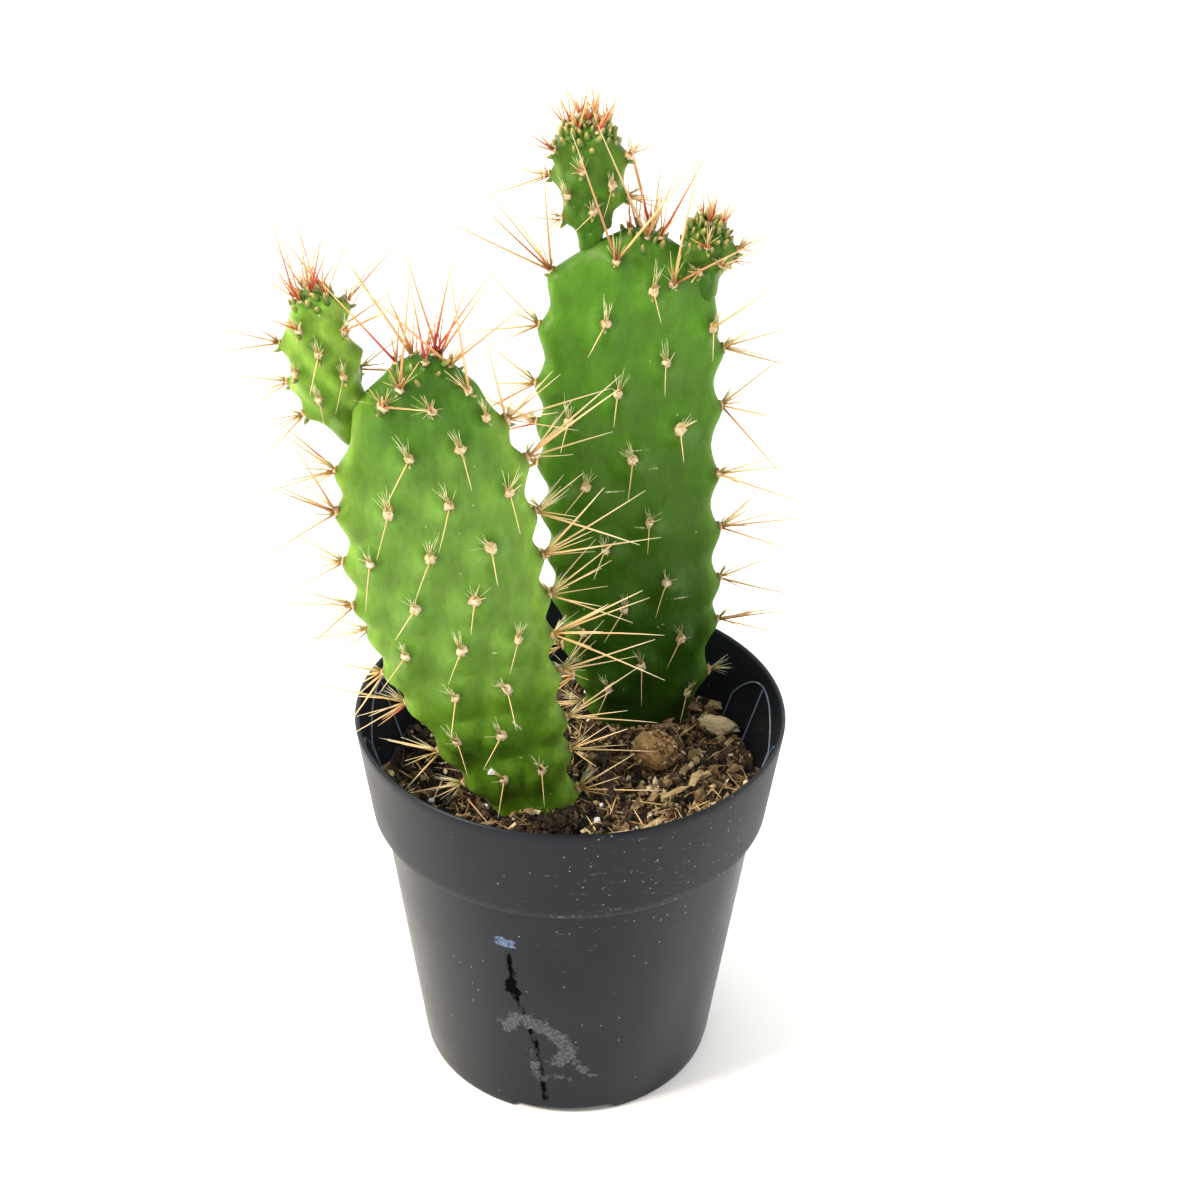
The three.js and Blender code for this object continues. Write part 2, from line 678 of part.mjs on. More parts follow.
const grown = new Map();
for (const pad of PADS) grown.set(pad.name, padBody(pad, areolesOf(pad, rootsOn(pad)), GAP));
for (const pad of PADS) {
  addNode(pad.name, makePad(pad, rootsOn(pad), grown.get(pad.parent)), pad.color, 0.5);
}
for (const piece of [LUMP, CHIP]) addNode(piece.name, lumpSolid(piece, 0), piece.color, 0.9);
addNode("pot", makePot(), 0x26282b, 0.45);
const holes = [PAD_FRONT, PAD_BACK].map((pad) => grown.get(pad.name));
addNode("soil", makeSoil([...holes, lumpSolid(LUMP, GAP), lumpSolid(CHIP, GAP)]), 0x4b3826, 0.95);

export default opuntia;
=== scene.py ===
# Potted opuntia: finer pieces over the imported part, with their materials, camera and light.
# Lengths are worked out in millimetres, and a mesh is brought to metres when it is made.
import json
import math
import bmesh
import bpy
import numpy as np
from mathutils import Matrix, Vector, noise

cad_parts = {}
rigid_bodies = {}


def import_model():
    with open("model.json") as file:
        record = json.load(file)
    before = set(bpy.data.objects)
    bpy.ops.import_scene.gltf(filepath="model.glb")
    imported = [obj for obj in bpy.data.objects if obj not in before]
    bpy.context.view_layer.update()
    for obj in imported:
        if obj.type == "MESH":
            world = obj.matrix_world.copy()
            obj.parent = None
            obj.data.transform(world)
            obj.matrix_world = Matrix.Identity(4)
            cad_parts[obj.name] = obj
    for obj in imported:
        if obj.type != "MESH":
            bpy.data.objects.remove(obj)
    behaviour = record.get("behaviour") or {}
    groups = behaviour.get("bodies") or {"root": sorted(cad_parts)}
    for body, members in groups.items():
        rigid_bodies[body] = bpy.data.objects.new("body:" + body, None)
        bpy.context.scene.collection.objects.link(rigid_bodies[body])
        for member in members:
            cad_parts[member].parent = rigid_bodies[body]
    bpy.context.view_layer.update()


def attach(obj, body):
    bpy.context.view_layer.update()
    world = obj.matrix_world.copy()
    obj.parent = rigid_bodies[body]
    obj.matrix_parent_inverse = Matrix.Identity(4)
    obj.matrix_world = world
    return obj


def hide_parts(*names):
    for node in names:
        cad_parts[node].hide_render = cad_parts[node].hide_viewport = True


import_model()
mm = 0.001
farAway = 99.0  # a distance at which no mark or areole is felt
up = np.array([0.0, 0.0, 1.0])


# Camera, floor and light

view = {
    "target": (6.63, 0, 129.78),
    "distance": 401.26,
    "elevation": 30.49,
    "roll": 1.18,
    "lens": 51.0,
}


def makeCamera():
    rise = math.radians(view["elevation"])
    backwards = Vector((0, -math.cos(rise), math.sin(rise)))
    data = bpy.data.cameras.new("camera")
    data.lens = view["lens"]
    data.sensor_width = 36
    camera = bpy.data.objects.new("camera", data)
    bpy.context.scene.collection.objects.link(camera)
    place = Matrix.Translation((Vector(view["target"]) + view["distance"] * backwards) * mm)
    turn = backwards.to_track_quat("Z", "Y").to_matrix().to_4x4()
    camera.matrix_world = place @ turn @ Matrix.Rotation(math.radians(view["roll"]), 4, "Z")
    bpy.context.scene.camera = camera


studio = {
    "floorSize": 6.0,
    # brightness of the room before and behind the plant, as seen from the camera
    "skyFront": 0.5,
    "skyBack": 2.2,
    # name: [place, aim, size, power in watts, colour]
    "lamps": {
        "windowLeft": [(-0.86, -0.42, 0.95), (0, 0, 0.12), 0.34, 22.0, "#fff6e8"],
        "fillRight": [(0.95, -0.35, 0.5), (0, 0, 0.14), 0.7, 3.0, "#f2f6ff"],
    },
}


def linear(code, alpha=1.0):
    # sRGB hex to the linear colour that a shader takes
    parts = [int(code[i : i + 2], 16) / 255 for i in (1, 3, 5)]
    return tuple(c / 12.92 if c < 0.04045 else ((c + 0.055) / 1.055) ** 2.4 for c in parts) + (alpha,)


def feed(tree, node, **values):
    # each value goes to the input of that name or number (as "in0"), linked if it is a socket
    for key, value in values.items():
        name = int(key[2:]) if key[2:].isdigit() else key.replace("_", " ")
        if isinstance(value, bpy.types.NodeSocket):
            tree.links.new(value, node.inputs[name])
        else:
            node.inputs[name].default_value = linear(value) if isinstance(value, str) else value


def addNode(tree, kind, **settings):
    # a key is a property of the node or one of its inputs
    node = tree.nodes.new("ShaderNode" + kind)
    for key, value in settings.items():
        if hasattr(node, key):
            setattr(node, key, value)
        else:
            feed(tree, node, **{key: value})
    return node


def ramp(tree, value, stops):
    node = addNode(tree, "ValToRGB", in0=value)
    while len(node.color_ramp.elements) < len(stops):
        node.color_ramp.elements.new(0.5)
    for element, (place, code) in zip(node.color_ramp.elements, stops):
        element.position = place
        element.color = linear(code)
    return node.outputs[0]


def mixed(tree, share, first, second, blend="MIX"):
    # two colours, each a socket or a hex code
    node = addNode(tree, "Mix", data_type="RGBA", blend_type=blend, in0=share, in6=first, in7=second)
    return node.outputs[2]


def mixedValue(tree, share, first, second):
    return addNode(tree, "Mix", data_type="FLOAT", in0=share, in2=first, in3=second).outputs[0]


def ranged(tree, value, low, high, first=0.0, last=1.0, **settings):
    # a value between low and high brought to between first and last
    node = addNode(tree, "MapRange", Value=value, in1=low, in2=high, in3=first, in4=last, **settings)
    return node.outputs[0]


def counted(tree, operation, *values):
    # one step of arithmetic
    inputs = {f"in{k}": value for k, value in enumerate(values)}
    return addNode(tree, "Math", operation=operation, **inputs).outputs[0]


def noiseAt(tree, where, size, detail, roughness=0.5):
    # a noise whose features are about size millimetres across
    node = addNode(tree, "TexNoise", Vector=where, Scale=1 / (size * mm), Detail=detail, Roughness=roughness)
    return node.outputs["Fac"]


def bumped(tree, height, depth, strength, **under):
    # relief of so many millimetres, over the relief that is given as Normal
    return addNode(tree, "Bump", Height=height, Distance=depth * mm, Strength=strength, **under).outputs[0]


def pointValue(tree, name):
    return addNode(tree, "Attribute", attribute_name=name).outputs["Fac"]


def newMaterial(name):
    material = bpy.data.materials.new(name)
    material.use_nodes = True
    tree = material.node_tree
    surface = next(n for n in tree.nodes if n.type == "BSDF_PRINCIPLED")
    where = addNode(tree, "TexCoord").outputs["Object"]
    return material, tree, surface, where


def makeStage():
    bm = bmesh.new()
    bmesh.ops.create_grid(bm, x_segments=2, y_segments=2, size=studio["floorSize"] / 2)
    mesh = bpy.data.meshes.new("floor")
    bm.to_mesh(mesh)
    bm.free()
    floor = bpy.data.objects.new("floor", mesh)
    bpy.context.scene.collection.objects.link(floor)
    # White paper sweep: even and dull, so that it only carries the shadow.
    material, tree, surface = newMaterial("whitePaper")[:3]
    feed(tree, surface, Base_Color="#f7f5f1", Roughness=0.9, Specular_IOR_Level=0.2)
    mesh.materials.append(material)
    world = bpy.data.worlds.new("studio")
    world.use_nodes = True
    # a pale room, brighter behind the plant than before it
    tree = world.node_tree
    around = addNode(tree, "TexCoord").outputs["Generated"]
    facing = addNode(tree, "SeparateXYZ", in0=around).outputs["Y"]
    sky = (studio["skyFront"], studio["skyBack"])
    room = ranged(tree, facing, -0.9, 0.9, *sky, interpolation_type="SMOOTHSTEP")
    # seen straight, the room is plain white
    seen = addNode(tree, "LightPath").outputs["Is Camera Ray"]
    feed(tree, tree.nodes["Background"], Color="#ffffff", Strength=mixedValue(tree, seen, room, 1.0))
    bpy.context.scene.world = world
    for name, (place, aim, size, power, code) in studio["lamps"].items():
        data = bpy.data.lights.new(name, "AREA")
        data.shape = "DISK"
        data.size = size
        data.energy = power
        data.color = linear(code)[:3]
        lamp = bpy.data.objects.new(name, data)
        lamp.location = place
        lamp.rotation_euler = (Vector(place) - Vector(aim)).to_track_quat("Z", "Y").to_euler()
        bpy.context.scene.collection.objects.link(lamp)
    bpy.context.scene.view_settings.view_transform = "Standard"
    bpy.context.scene.view_settings.look = "None"


makeCamera()
makeStage()
print("stage: camera, floor and light are set")


# Making pieces


def meshFrom(bm, name, smooth=True):
    mesh = bpy.data.meshes.new(name)
    bm.to_mesh(mesh)
    bm.free()
    if smooth:
        mesh.shade_smooth()
    return mesh


def pointsOf(mesh):
    co = np.zeros(len(mesh.vertices) * 3, np.float32)
    mesh.vertices.foreach_get("co", co)
    return co.reshape(-1, 3).astype(float)


def setPoints(mesh, points):
    mesh.vertices.foreach_set("co", np.asarray(points, np.float32).ravel())
    mesh.update()


def setValues(mesh, **values):
    # One float for each point, by name, for a material to read.
    for name, value in values.items():
        attribute = mesh.attributes.new(name, "FLOAT", "POINT")
        attribute.data.foreach_set("value", np.asarray(value, np.float32).ravel())


def addPiece(name, mesh, material, slot, *nodes):
    # mesh is in millimetres and comes out in metres, on a body that doesn't move
    mesh.transform(Matrix.Scale(mm, 4))
    mesh.materials.clear()
    mesh.materials.append(material)
    piece = bpy.data.objects.new(name, mesh)
    bpy.context.scene.collection.objects.link(piece)
    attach(piece, "root")
    if nodes:
        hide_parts(*nodes)
    return piece


def strew(name, template, places, **values):
    # Copies of a small mesh in one mesh. places has every copy's points, values one float a copy or a point.
    bm = bmesh.new()
    for _ in range(len(places)):
        bm.from_mesh(template)
    mesh = meshFrom(bm, name, smooth=False)
    setPoints(mesh, places.reshape(-1, 3))
    count = len(template.vertices)
    for key, value in values.items():
        value = np.asarray(value, float)
        setValues(mesh, **{key: np.repeat(value, count) if value.ndim == 1 else value})
    return mesh


def needleTemplate(sides, rings):
    # A needle of length 1 along Z and radius 1, cut across so that it can bend.
    bm = bmesh.new()
    raised = Matrix.Translation((0, 0, 0.5))
    bmesh.ops.create_cone(bm, cap_ends=True, segments=sides, radius1=1, radius2=0.07, depth=1, matrix=raised)
    for k in range(1, rings):
        parts = bm.verts[:] + bm.edges[:] + bm.faces[:]
        bmesh.ops.bisect_plane(bm, geom=parts, plane_co=(0, 0, k / rings), plane_no=(0, 0, 1))
    return meshFrom(bm, "needleTemplate")


def unit(v):
    v = np.asarray(v, float)
    return v / np.maximum(np.linalg.norm(v, axis=-1, keepdims=True), 1e-9)


def needlePlaces(template, roots, ways, lengths, radii, bends, keepsRadius=0.6):
    # Every copy's points: along its way, bent by the square of the distance, thick for most of its length.
    t = pointsOf(template)
    roots, ways = np.asarray(roots, float), unit(ways)
    helper = np.where(np.abs(ways[:, 2:3]) > 0.8, [[1.0, 0, 0]], [[0, 0, 1.0]])
    side = unit(np.cross(ways, helper))
    other = np.cross(ways, side)
    z = t[:, 2]
    fuller = (1 - 0.93 * z) ** (keepsRadius - 1)
    radius = np.asarray(radii, float)[:, None, None] * fuller[None, :, None]
    places = roots[:, None] + ways[:, None] * (np.asarray(lengths, float)[:, None] * z[None])[:, :, None]
    places += radius * (t[None, :, 0:1] * side[:, None] + t[None, :, 1:2] * other[:, None])
    return places + np.asarray(bends, float)[:, None] * (z**2)[None, :, None], z


# The pads' form, by the part's own rule.
# A station is [height, middle of the width, half width, half thickness].

padFront = {
    "name": "pad_front",
    "slot": "pad_light_green",
    "at": (0, -15, 0),
    "lean": 0,
    "turn": 5,
    "stations": [
        [54, -8, 5, 3.6],
        [68, -8, 7.5, 4.6],
        [82, -9.6, 9.3, 5.2],
        [101, -16.8, 14.2, 5.6],
        [130, -25.2, 18.9, 5.8],
        [157, -29.2, 19.3, 5.8],
        [172, -30, 18, 5.5],
        [182, -31.4, 15, 5.2],
        [197, -31, 13.6, 4.8],
    ],
    "capLength": 17,
    "mesh": (144, 230),
    "areoles": {"from": 86, "to": 192, "rise": 1.82, "angle": 54.61, "phase": 130.6, "apart": 6.5},
    "margins": {"left": (89.2, 10.2), "right": (84.9, 10.9), "to": 188},
    "bump": (1.8, 4.2),
    "tip": {"count": 7, "spread": (6.5, 2.6), "at": -31, "scales": 16, "scaleSpread": (7.5, 3.2)},
    "spine": {"edge": (13, 27), "face": (4, 9.5), "tip": (9, 27)},
    # more areoles near the top, with tufts only: [x, height]
    "more": [[-36, 191.5], [-29.6, 187.1], [-22.5, 190.5], [-15.7, 184.6], [-42, 186.5]],
    # the longest spines: [x, height] of root and of tip
    "long": [
        [-37, 190, -32, 224],
        [-29, 194, -35, 226],
        [-28, 194, -21, 217],
        [-23, 190, -26, 225],
        [-16, 184, -19, 209],
        [-13, 174, 8, 194],
        [-27, 194, -43, 216],
        [-48, 174, -62, 186],
        [-50, 166, -59, 184],
        [-50, 165, -63, 172],
        [-6, 154, 7, 171],
        [-4, 127, 20, 136],
        [-4, 129, 15, 146],
    ],
    # corky scars on the face: [x, height, length, slant]
    "scars": [[-17.5, 128, 1.1, 0.3], [-12.6, 108, 3.6, -0.9], [-27, 118, 1.6, 0.9], [-12, 98.5, 1.2, 0.2]],
    "seed": 11,
}
padBack = {
    "name": "pad_back",
    "slot": "pad_deep_green",
    "at": (0, 23, 0),
    "lean": 0,
    "turn": 6,
    "stations": [
        [54, 20, 5, 3.6],
        [66, 19.5, 9, 4.6],
        [82, 18.6, 11.8, 5.2],
        [111, 16.2, 18.2, 5.8],
        [150, 13.2, 19.5, 6],
        [182, 12.4, 19.4, 5.8],
        [200, 12.9, 18.2, 5.3],
        [212, 12.2, 17.4, 4.8],
    ],
    "capLength": 15,
    "mesh": (144, 230),
    "areoles": {"from": 86.8, "to": 208, "rise": 2.411, "angle": -104.94, "phase": 268.5, "apart": 6.5},
    "margins": {"left": (94, 12), "right": (94.7, 14.5), "to": 207},
    "bump": (1.6, 4.2),
    "tip": {"count": 6, "spread": (3.6, 2.8), "at": 15, "scales": 20, "scaleSpread": (5.0, 3.4)},
    "spine": {"edge": (13, 26), "face": (4, 9.5), "tip": (8, 30)},
    "more": [[8.2, 206.5], [20.9, 201.4], [27.6, 190.6]],
    "long": [
        [-3, 206, -9, 231],
        [6, 207, -2, 237],
        [15, 206, 3, 238],
        [13, 206, 29, 236],
        [22, 204, 25, 236],
        [29, 200, 44, 216],
        [30, 199, 46, 204],
        [-3, 204, -31, 219],
        [-5, 200, -22, 221],
        [33, 171, 51, 153],
        [35, 158, 55, 159],
        [35, 144, 57, 145],
        [35, 144, 56, 134],
        [36, 113, 53, 118],
        [33, 183, 41, 194],
    ],
    "scars": [
        [15, 161.5, 5, 0.05],
        [17, 156.5, 4, -0.1],
        [9, 150.5, 4.5, 0.05],
        [15.5, 141, 5, 0.15],
        [26, 120, 9, -0.1],
        [21.5, 112.5, 2.5, 0.5],
    ],
    "seed": 47,
}
youngFront = {
    "name": "young_pad_front",
    "slot": "young_green",
    "parent": "pad_front",
    "at": (-46.6, -15, 179.5),
    "lean": -12,
    "turn": 0,
    "stations": [
        [-4, 0.4, 2.8, 2.6],
        [2, -1.4, 3.6, 3.4],
        [8, -2.4, 5.7, 4.6],
        [14, -2.4, 6.7, 5],
        [21, -2, 6, 4.8],
        [31.5, -0.6, 5.5, 4.4],
    ],
    "capLength": 6.5,
    "mesh": (80, 110),
    "areoles": {"from": 5, "to": 28, "rise": 1.15, "angle": 137.5, "phase": 20, "apart": 3.4},
    "bump": (1.4, 2.5),
    "tip": {"count": 8, "spread": (4.2, 2.6), "at": -0.6, "scales": 24, "scaleSpread": (5.0, 3.6)},
    "spine": {"edge": (8, 21), "face": (3.5, 9), "tip": (6, 19)},
    "seed": 83,
}
youngBack = {
    "name": "young_pad_back",
    "slot": "young_green",
    "parent": "pad_back",
    "at": (2.8, 23, 209.8),
    "lean": -1,
    "turn": 0,
    "stations": [
        [-4, 0, 2.8, 2.8],
        [2.5, -0.2, 2.9, 3],
        [7, 0, 5, 4.2],
        [12, 0.2, 6.5, 5],
        [17, -0.1, 7.2, 5.2],
        [26.5, -0.5, 6.6, 4.8],
    ],
    "capLength": 8,
    "mesh": (80, 100),
    "areoles": {"from": 5, "to": 24, "rise": 1.1, "angle": -137.5, "phase": 60, "apart": 3.4},
    "bump": (1.4, 2.5),
    "tip": {"count": 11, "spread": (5, 3.4), "at": -0.5, "scales": 64, "scaleSpread": (6.6, 4.8)},
    "spine": {"edge": (5, 20), "face": (3, 7), "tip": (3, 9)},
    "seed": 131,
}
budBack = {
    "name": "bud_back",
    "slot": "young_green",
    "parent": "pad_back",
    "at": (29, 23, 199.8),
    "lean": 2,
    "turn": 0,
    "stations": [
        [-4, 0, 2.8, 2.8],
        [1.5, 0, 3, 3],
        [4.7, 0, 4.4, 4.2],
        [7.5, -0.2, 5.2, 4.8],
        [15, -0.5, 4.8, 4.4],
    ],
    "capLength": 6,
    "mesh": (72, 80),
    "areoles": {"from": 4, "to": 12.5, "rise": 0.7, "angle": 137.5, "phase": 200, "apart": 2.8},
    "bump": (1.1, 1.9),
    "tip": {"count": 9, "spread": (3.8, 3.4), "at": -0.5, "scales": 58, "scaleSpread": (5.2, 4.8)},
    "spine": {"edge": (3, 10), "face": (2.5, 5), "tip": (3, 8)},
    "seed": 173,
}
pads = [padFront, padBack, youngFront, youngBack, budBack]
form = {
    "sectionPower": 2.3,
    "capPower": 0.58,
    "edgeMore": 0.7,
    "bumpPointed": 1.5,
    "shootSpace": 7,
    "tipApart": 1.6,
    "moreApart": 4.5,
    # the large pads turn about their middle at this height
    "pivotHeight": 82,
    # and their colours start at this one
    "footHeight": 80,
    "spineRadius": 0.36,
    "spineClear": 0.7,
    # the longest spines end this far before the pad's middle plane
    "longForward": 10.0,
    "longRadius": 0.32,
}


def draw(n):
    # a repeatable draw between 0 and 1
    s = math.sin(n * 12.9898) * 43758.5453
    return s - math.floor(s)


def smoothstep(x, low, high):
    t = np.clip((x - low) / (high - low), 0, 1)
    return t * t * (3 - 2 * t)


def along(stations, h):
    # middle, half width and half thickness at a height
    s = np.array(stations, float)
    z, v = s[:, 0], s[:, 1:]
    last = len(z) - 1
    before, after = np.maximum(np.arange(last + 1) - 1, 0), np.minimum(np.arange(last + 1) + 1, last)
    slope = (v[after] - v[before]) / (z[after] - z[before])[:, None]
    i = int(np.clip(np.searchsorted(z, h) - 1, 0, last - 1))
    span = z[i + 1] - z[i]
    t = min(max((h - z[i]) / span, 0), 1)
    rise = (2 * t**3 - 3 * t**2 + 1) * v[i] + (3 * t**2 - 2 * t**3) * v[i + 1]
    return rise + span * ((t**3 - 2 * t**2 + t) * slope[i] + (t**3 - t**2) * slope[i + 1])


def plainPoints(pad, turns, h):
    # the pad's surface without tubercles, at one height and several turns; turn 0 is the middle of the front
    bottom, top = pad["stations"][0][0], pad["stations"][-1][0]
    middle, halfWidth, halfThick = along(pad["stations"], h)
    over = max(0, (h - top + pad["capLength"]) / pad["capLength"])
    under = max(0, 1 - (h - bottom) / 3)
    close = max(0, 1 - over**2) ** form["capPower"] * max(0, 1 - under**2) ** 0.5
    a = np.linspace(-math.pi, math.pi, 129)
    power = 2 / form["sectionPower"]
    x = halfWidth * np.sign(np.sin(a)) * np.abs(np.sin(a)) ** power
    y = -halfThick * np.sign(np.cos(a)) * np.abs(np.cos(a)) ** power
    girth = np.concatenate([[0], np.cumsum(np.hypot(np.diff(x), np.diff(y)))])
    wanted = (turns - np.floor(turns + 0.5) + 0.5) * girth[-1]
    px, py = np.interp(wanted, girth, x), np.interp(wanted, girth, y)
    return np.stack([middle + px * close, py * close, np.full(len(turns), float(h))], -1)


def plainFrames(pad, turns, h):
    # the points with the directions that leave the surface, climb it and cross it
    top = pad["stations"][-1][0]
    turns = np.atleast_1d(np.asarray(turns, float))
    sideways = unit(plainPoints(pad, turns + 0.004, h) - plainPoints(pad, turns - 0.004, h))
    above, below = min(h + 0.3, top - 0.02), min(h, top - 0.32) - 0.3
    climb = unit(plainPoints(pad, turns, above) - plainPoints(pad, turns, below))
    return plainPoints(pad, turns, h), unit(np.cross(sideways, climb)), climb, sideways


def placeOf(pad):
    at = Matrix.Translation(pad["at"])
    if pad["at"][2]:
        return at @ Matrix.Rotation(math.radians(pad["lean"]), 4, "Y")
    pivot = along(pad["stations"], form["pivotHeight"])[0]
    turn = Matrix.Rotation(math.radians(pad["turn"]), 4, "Z")
    return at @ Matrix.Translation((pivot, 0, 0)) @ turn @ Matrix.Translation((-pivot, 0, 0))


def moved(matrix, points):
    m = np.array(matrix)
    return points @ m[:3, :3].T + m[:3, 3]


def turned(matrix, ways):
    return ways @ np.array(matrix)[:3, :3].T


def tipHeight(pad, x, y):
    top = pad["stations"][-1][0]
    halfWidth, halfThick = along(pad["stations"], top)[1:]
    power = form["sectionPower"]
    reach = (np.abs(x / halfWidth) ** power + np.abs(y / halfThick) ** power) ** (1 / power)
    over = np.sqrt(np.maximum(0, 1 - np.minimum(1, reach) ** (1 / form["capPower"])))
    return top - pad["capLength"] * (1 - over)


def areoleAt(pad, turn, h, **more):
    point, out, climb, sideways = (f[0] for f in plainFrames(pad, turn, h))
    top = pad["stations"][-1][0]
    tipward = float(smoothstep(h, top - 22, top - 3))
    return dict(point=point, out=out, climb=climb, sideways=sideways, tipward=tipward, **more)


def areolesOf(pad):
    # A spiral of areoles up the faces, a row up each margin, and more at the growing tip.
    # None stands where a shoot does.
    rule, tip, margins = pad["areoles"], pad["tip"], pad.get("margins")
    top = pad["stations"][-1][0]
    spots = []
    i = 0
    while rule["from"] + i * rule["rise"] < rule["to"]:
        spots.append(((rule["phase"] + i * rule["angle"]) / 360, rule["from"] + i * rule["rise"]))
        i += 1
    for side in ("left", "right") if margins else ():
        first, step = margins[side]
        i = 0
        while first + i * step < margins["to"]:
            n = pad["seed"] + first + 3 * i
            turn = (-1 if side == "left" else 1) * (0.25 + 0.03 * (draw(n + 1) - 0.5))
            spots.append((turn, first + step * (i + 0.35 * (draw(n) - 0.5))))
            i += 1
    found = [areoleAt(pad, turn, h, size=1) for turn, h in spots]
    for i in range(tip["count"]):
        reach = math.sqrt((i + 0.5) / tip["count"])
        x, y = reach * math.cos(i * 2.4) * tip["spread"][0], reach * math.sin(i * 2.4) * tip["spread"][1]
        offset = tip["at"] - along(pad["stations"], top)[0]
        point = np.array([tip["at"] + x, y, float(tipHeight(pad, offset + x, y))])
        out = unit([x / 9, y / 7, 1])
        sideways = np.array([1.0, 0, 0])
        found.append(dict(point=point, out=out, climb=up, sideways=sideways, size=0.7, tipward=1.5))
    back = np.array(placeOf(pad).inverted())
    shoots = [moved(back, np.array(s["at"], float)) for s in pads if s.get("parent") == pad["name"]]
    apart = []
    for a in reversed(found):
        room = form["tipApart"] if a["tipward"] > 1 else rule["apart"]
        free = all(np.linalg.norm(a["point"] - s) > form["shootSpace"] for s in shoots)
        if free and all(np.linalg.norm(b["point"] - a["point"]) > room for b in apart):
            apart.append(a)
    for x, h in pad.get("more", ()):
        turns = np.linspace(-0.2, 0.2, 81)
        turn = turns[np.argmin(np.abs(plainPoints(pad, turns, h)[:, 0] - x))]
        bare = areoleAt(pad, turn, h, size=0.85, bare=True)
        if all(np.linalg.norm(b["point"] - bare["point"]) > form["moreApart"] for b in apart):
            apart.append(bare)
    return apart


def raisedBy(pad, areoles, points):
    # Height of the tubercles at some points, joined softly where two meet.
    total = np.zeros(len(points))
    for a in areoles:
        reach = pad["bump"][1] * a["size"]
        low = np.linalg.norm(points - (a["point"] - 0.25 * reach * a["climb"]), axis=1)
        high = a["size"] * pad["bump"][0] * (1 + form["edgeMore"] * abs(a["out"][0]) ** 3)
        total += (high * np.exp(-((low / reach) ** form["bumpPointed"]))) ** 4
    return total**0.25


def lineNear(points, line):
    # distance of flat points from a line of such points
    least = np.full(len(points), farAway)
    for a, b in zip(line, line[1:]):
        a, b = np.array(a, float), np.array(b, float)
        t = np.clip(((points - a) @ (b - a)) / max((b - a) @ (b - a), 1e-9), 0, 1)[:, None]
        least = np.minimum(least, np.linalg.norm(points - (a + t * (b - a)), axis=1))
    return least


def skinMesh(pad, areoles):
    # A ball whose points are moved onto the pad, ring by ring.
    around, rings = pad["mesh"]
    bottom, top = pad["stations"][0][0], pad["stations"][-1][0]
    bm = bmesh.new()
    bmesh.ops.create_uvsphere(bm, u_segments=around, v_segments=rings, radius=1)
    mesh = meshFrom(bm, pad["name"] + "_skin")
    ball = pointsOf(mesh)
    turns = np.arctan2(ball[:, 0], -ball[:, 1]) / (2 * math.pi)
    ring = np.round(np.arccos(np.clip(-ball[:, 2], -1, 1)) / math.pi * rings).astype(int)
    capShare = min(0.4, 1.5 * pad["capLength"] / (top - bottom))
    knee = top - pad["capLength"]
    points, outs = np.zeros_like(ball), np.zeros_like(ball)
    for k in range(rings + 1):
        v = k / rings
        h = bottom + (knee - bottom) * v / (1 - capShare)
        if v > 1 - capShare:
            h = knee + pad["capLength"] * math.sin(math.pi / 2 * (1 - (1 - v) / capShare))
        here = np.flatnonzero(ring == k)
        point, out, climb, sideways = plainFrames(pad, turns[here], min(max(h, bottom), top))
        if k in (0, rings):
            out = np.tile(up if k else -up, (len(here), 1))
        points[here], outs[here] = point, out
    rise = raisedBy(pad, areoles, points)
    rise[ring == 0] = 0
    mound = np.zeros(len(points))
    for a in areoles:
        # the swelling that carries an areole is longest below it
        away = points - (a["point"] - 1.6 * a["size"] * a["climb"])
        across, high, deep = away @ a["sideways"] / 3.6, away @ a["climb"] / 4.8, away @ a["out"] / 4
        mound = np.maximum(mound, np.exp(-(across**2 + high**2 + deep**2) / a["size"] ** 2))
    rise += np.array([0.22 * noise.noise(Vector(p) / 9) + 0.1 * noise.noise(Vector(p) / 3.5) for p in points])
    near = np.full(len(points), farAway)
    for a in areoles:
        root = a["point"] + 0.8 * a["size"] * a["climb"]
        near = np.minimum(near, np.linalg.norm((points - root) / a["size"], axis=1))
    setPoints(mesh, moved(placeOf(pad), points + outs * rise[:, None]))
    edge = smoothstep(np.abs(outs[:, 0]), 0.3, 0.95) * (1 - smoothstep(outs[:, 2], 0.3, 0.8))
    foot = form["footHeight"] if bottom > 0 else 0
    scars = np.full(len(points), farAway)
    front = points[:, 1] < 0
    for x, z, length, slant in pad.get("scars", ()):
        half = np.array([math.cos(slant), math.sin(slant)]) * length / 2
        away = lineNear(points[:, [0, 2]], [np.array([x, z]) - half, np.array([x, z]) + half])
        scars = np.where(front, np.minimum(scars, away), scars)
    share = (points[:, 2] - foot) / (top - foot)
    setValues(mesh, areoleNear=near, edgeward=edge, scarNear=scars, climbed=share, mound=mound)
    return mesh


pot = {
    "height": 100.5,
    "wall": 1.3,
    "floor": 1.5,
    "footRadius": 38.3,
    "bodyTopRadius": 46.9,
    "collarFrom": 74.3,
    "collarRadius": 49.4,
    "rimRadius": 52.5,
    "sides": 192,
    "lugAngles": (16.5, -16.5, 163.5, 196.5),
    "lugHalfWidth": 13.5,
    "lugLow": (44.6, 66),
    "lugDeepest": (43.8, 74.2),
    "lugHigh": (50.9, 97),
    "slotAngles": (0, 90, 180, 270),
    "slotWidth": 26,
    "slotHeight": 2.2,
    "slotFrom": 33.5,
    "holeRadius": 3,
    "holeCircle": 21,
    # radius that cutters reach to, well outside the wall
    "outside": 60,
    "edgeTube": 0.24,
}
soil = {
    "level": 80.5,
    "hollow": (-38, 2, 9, 5),
    "heaps": [(24, 3, 15, 1.8), (-2, -21, 9, 2.2), (20, 32, 12, 1.5)],
}
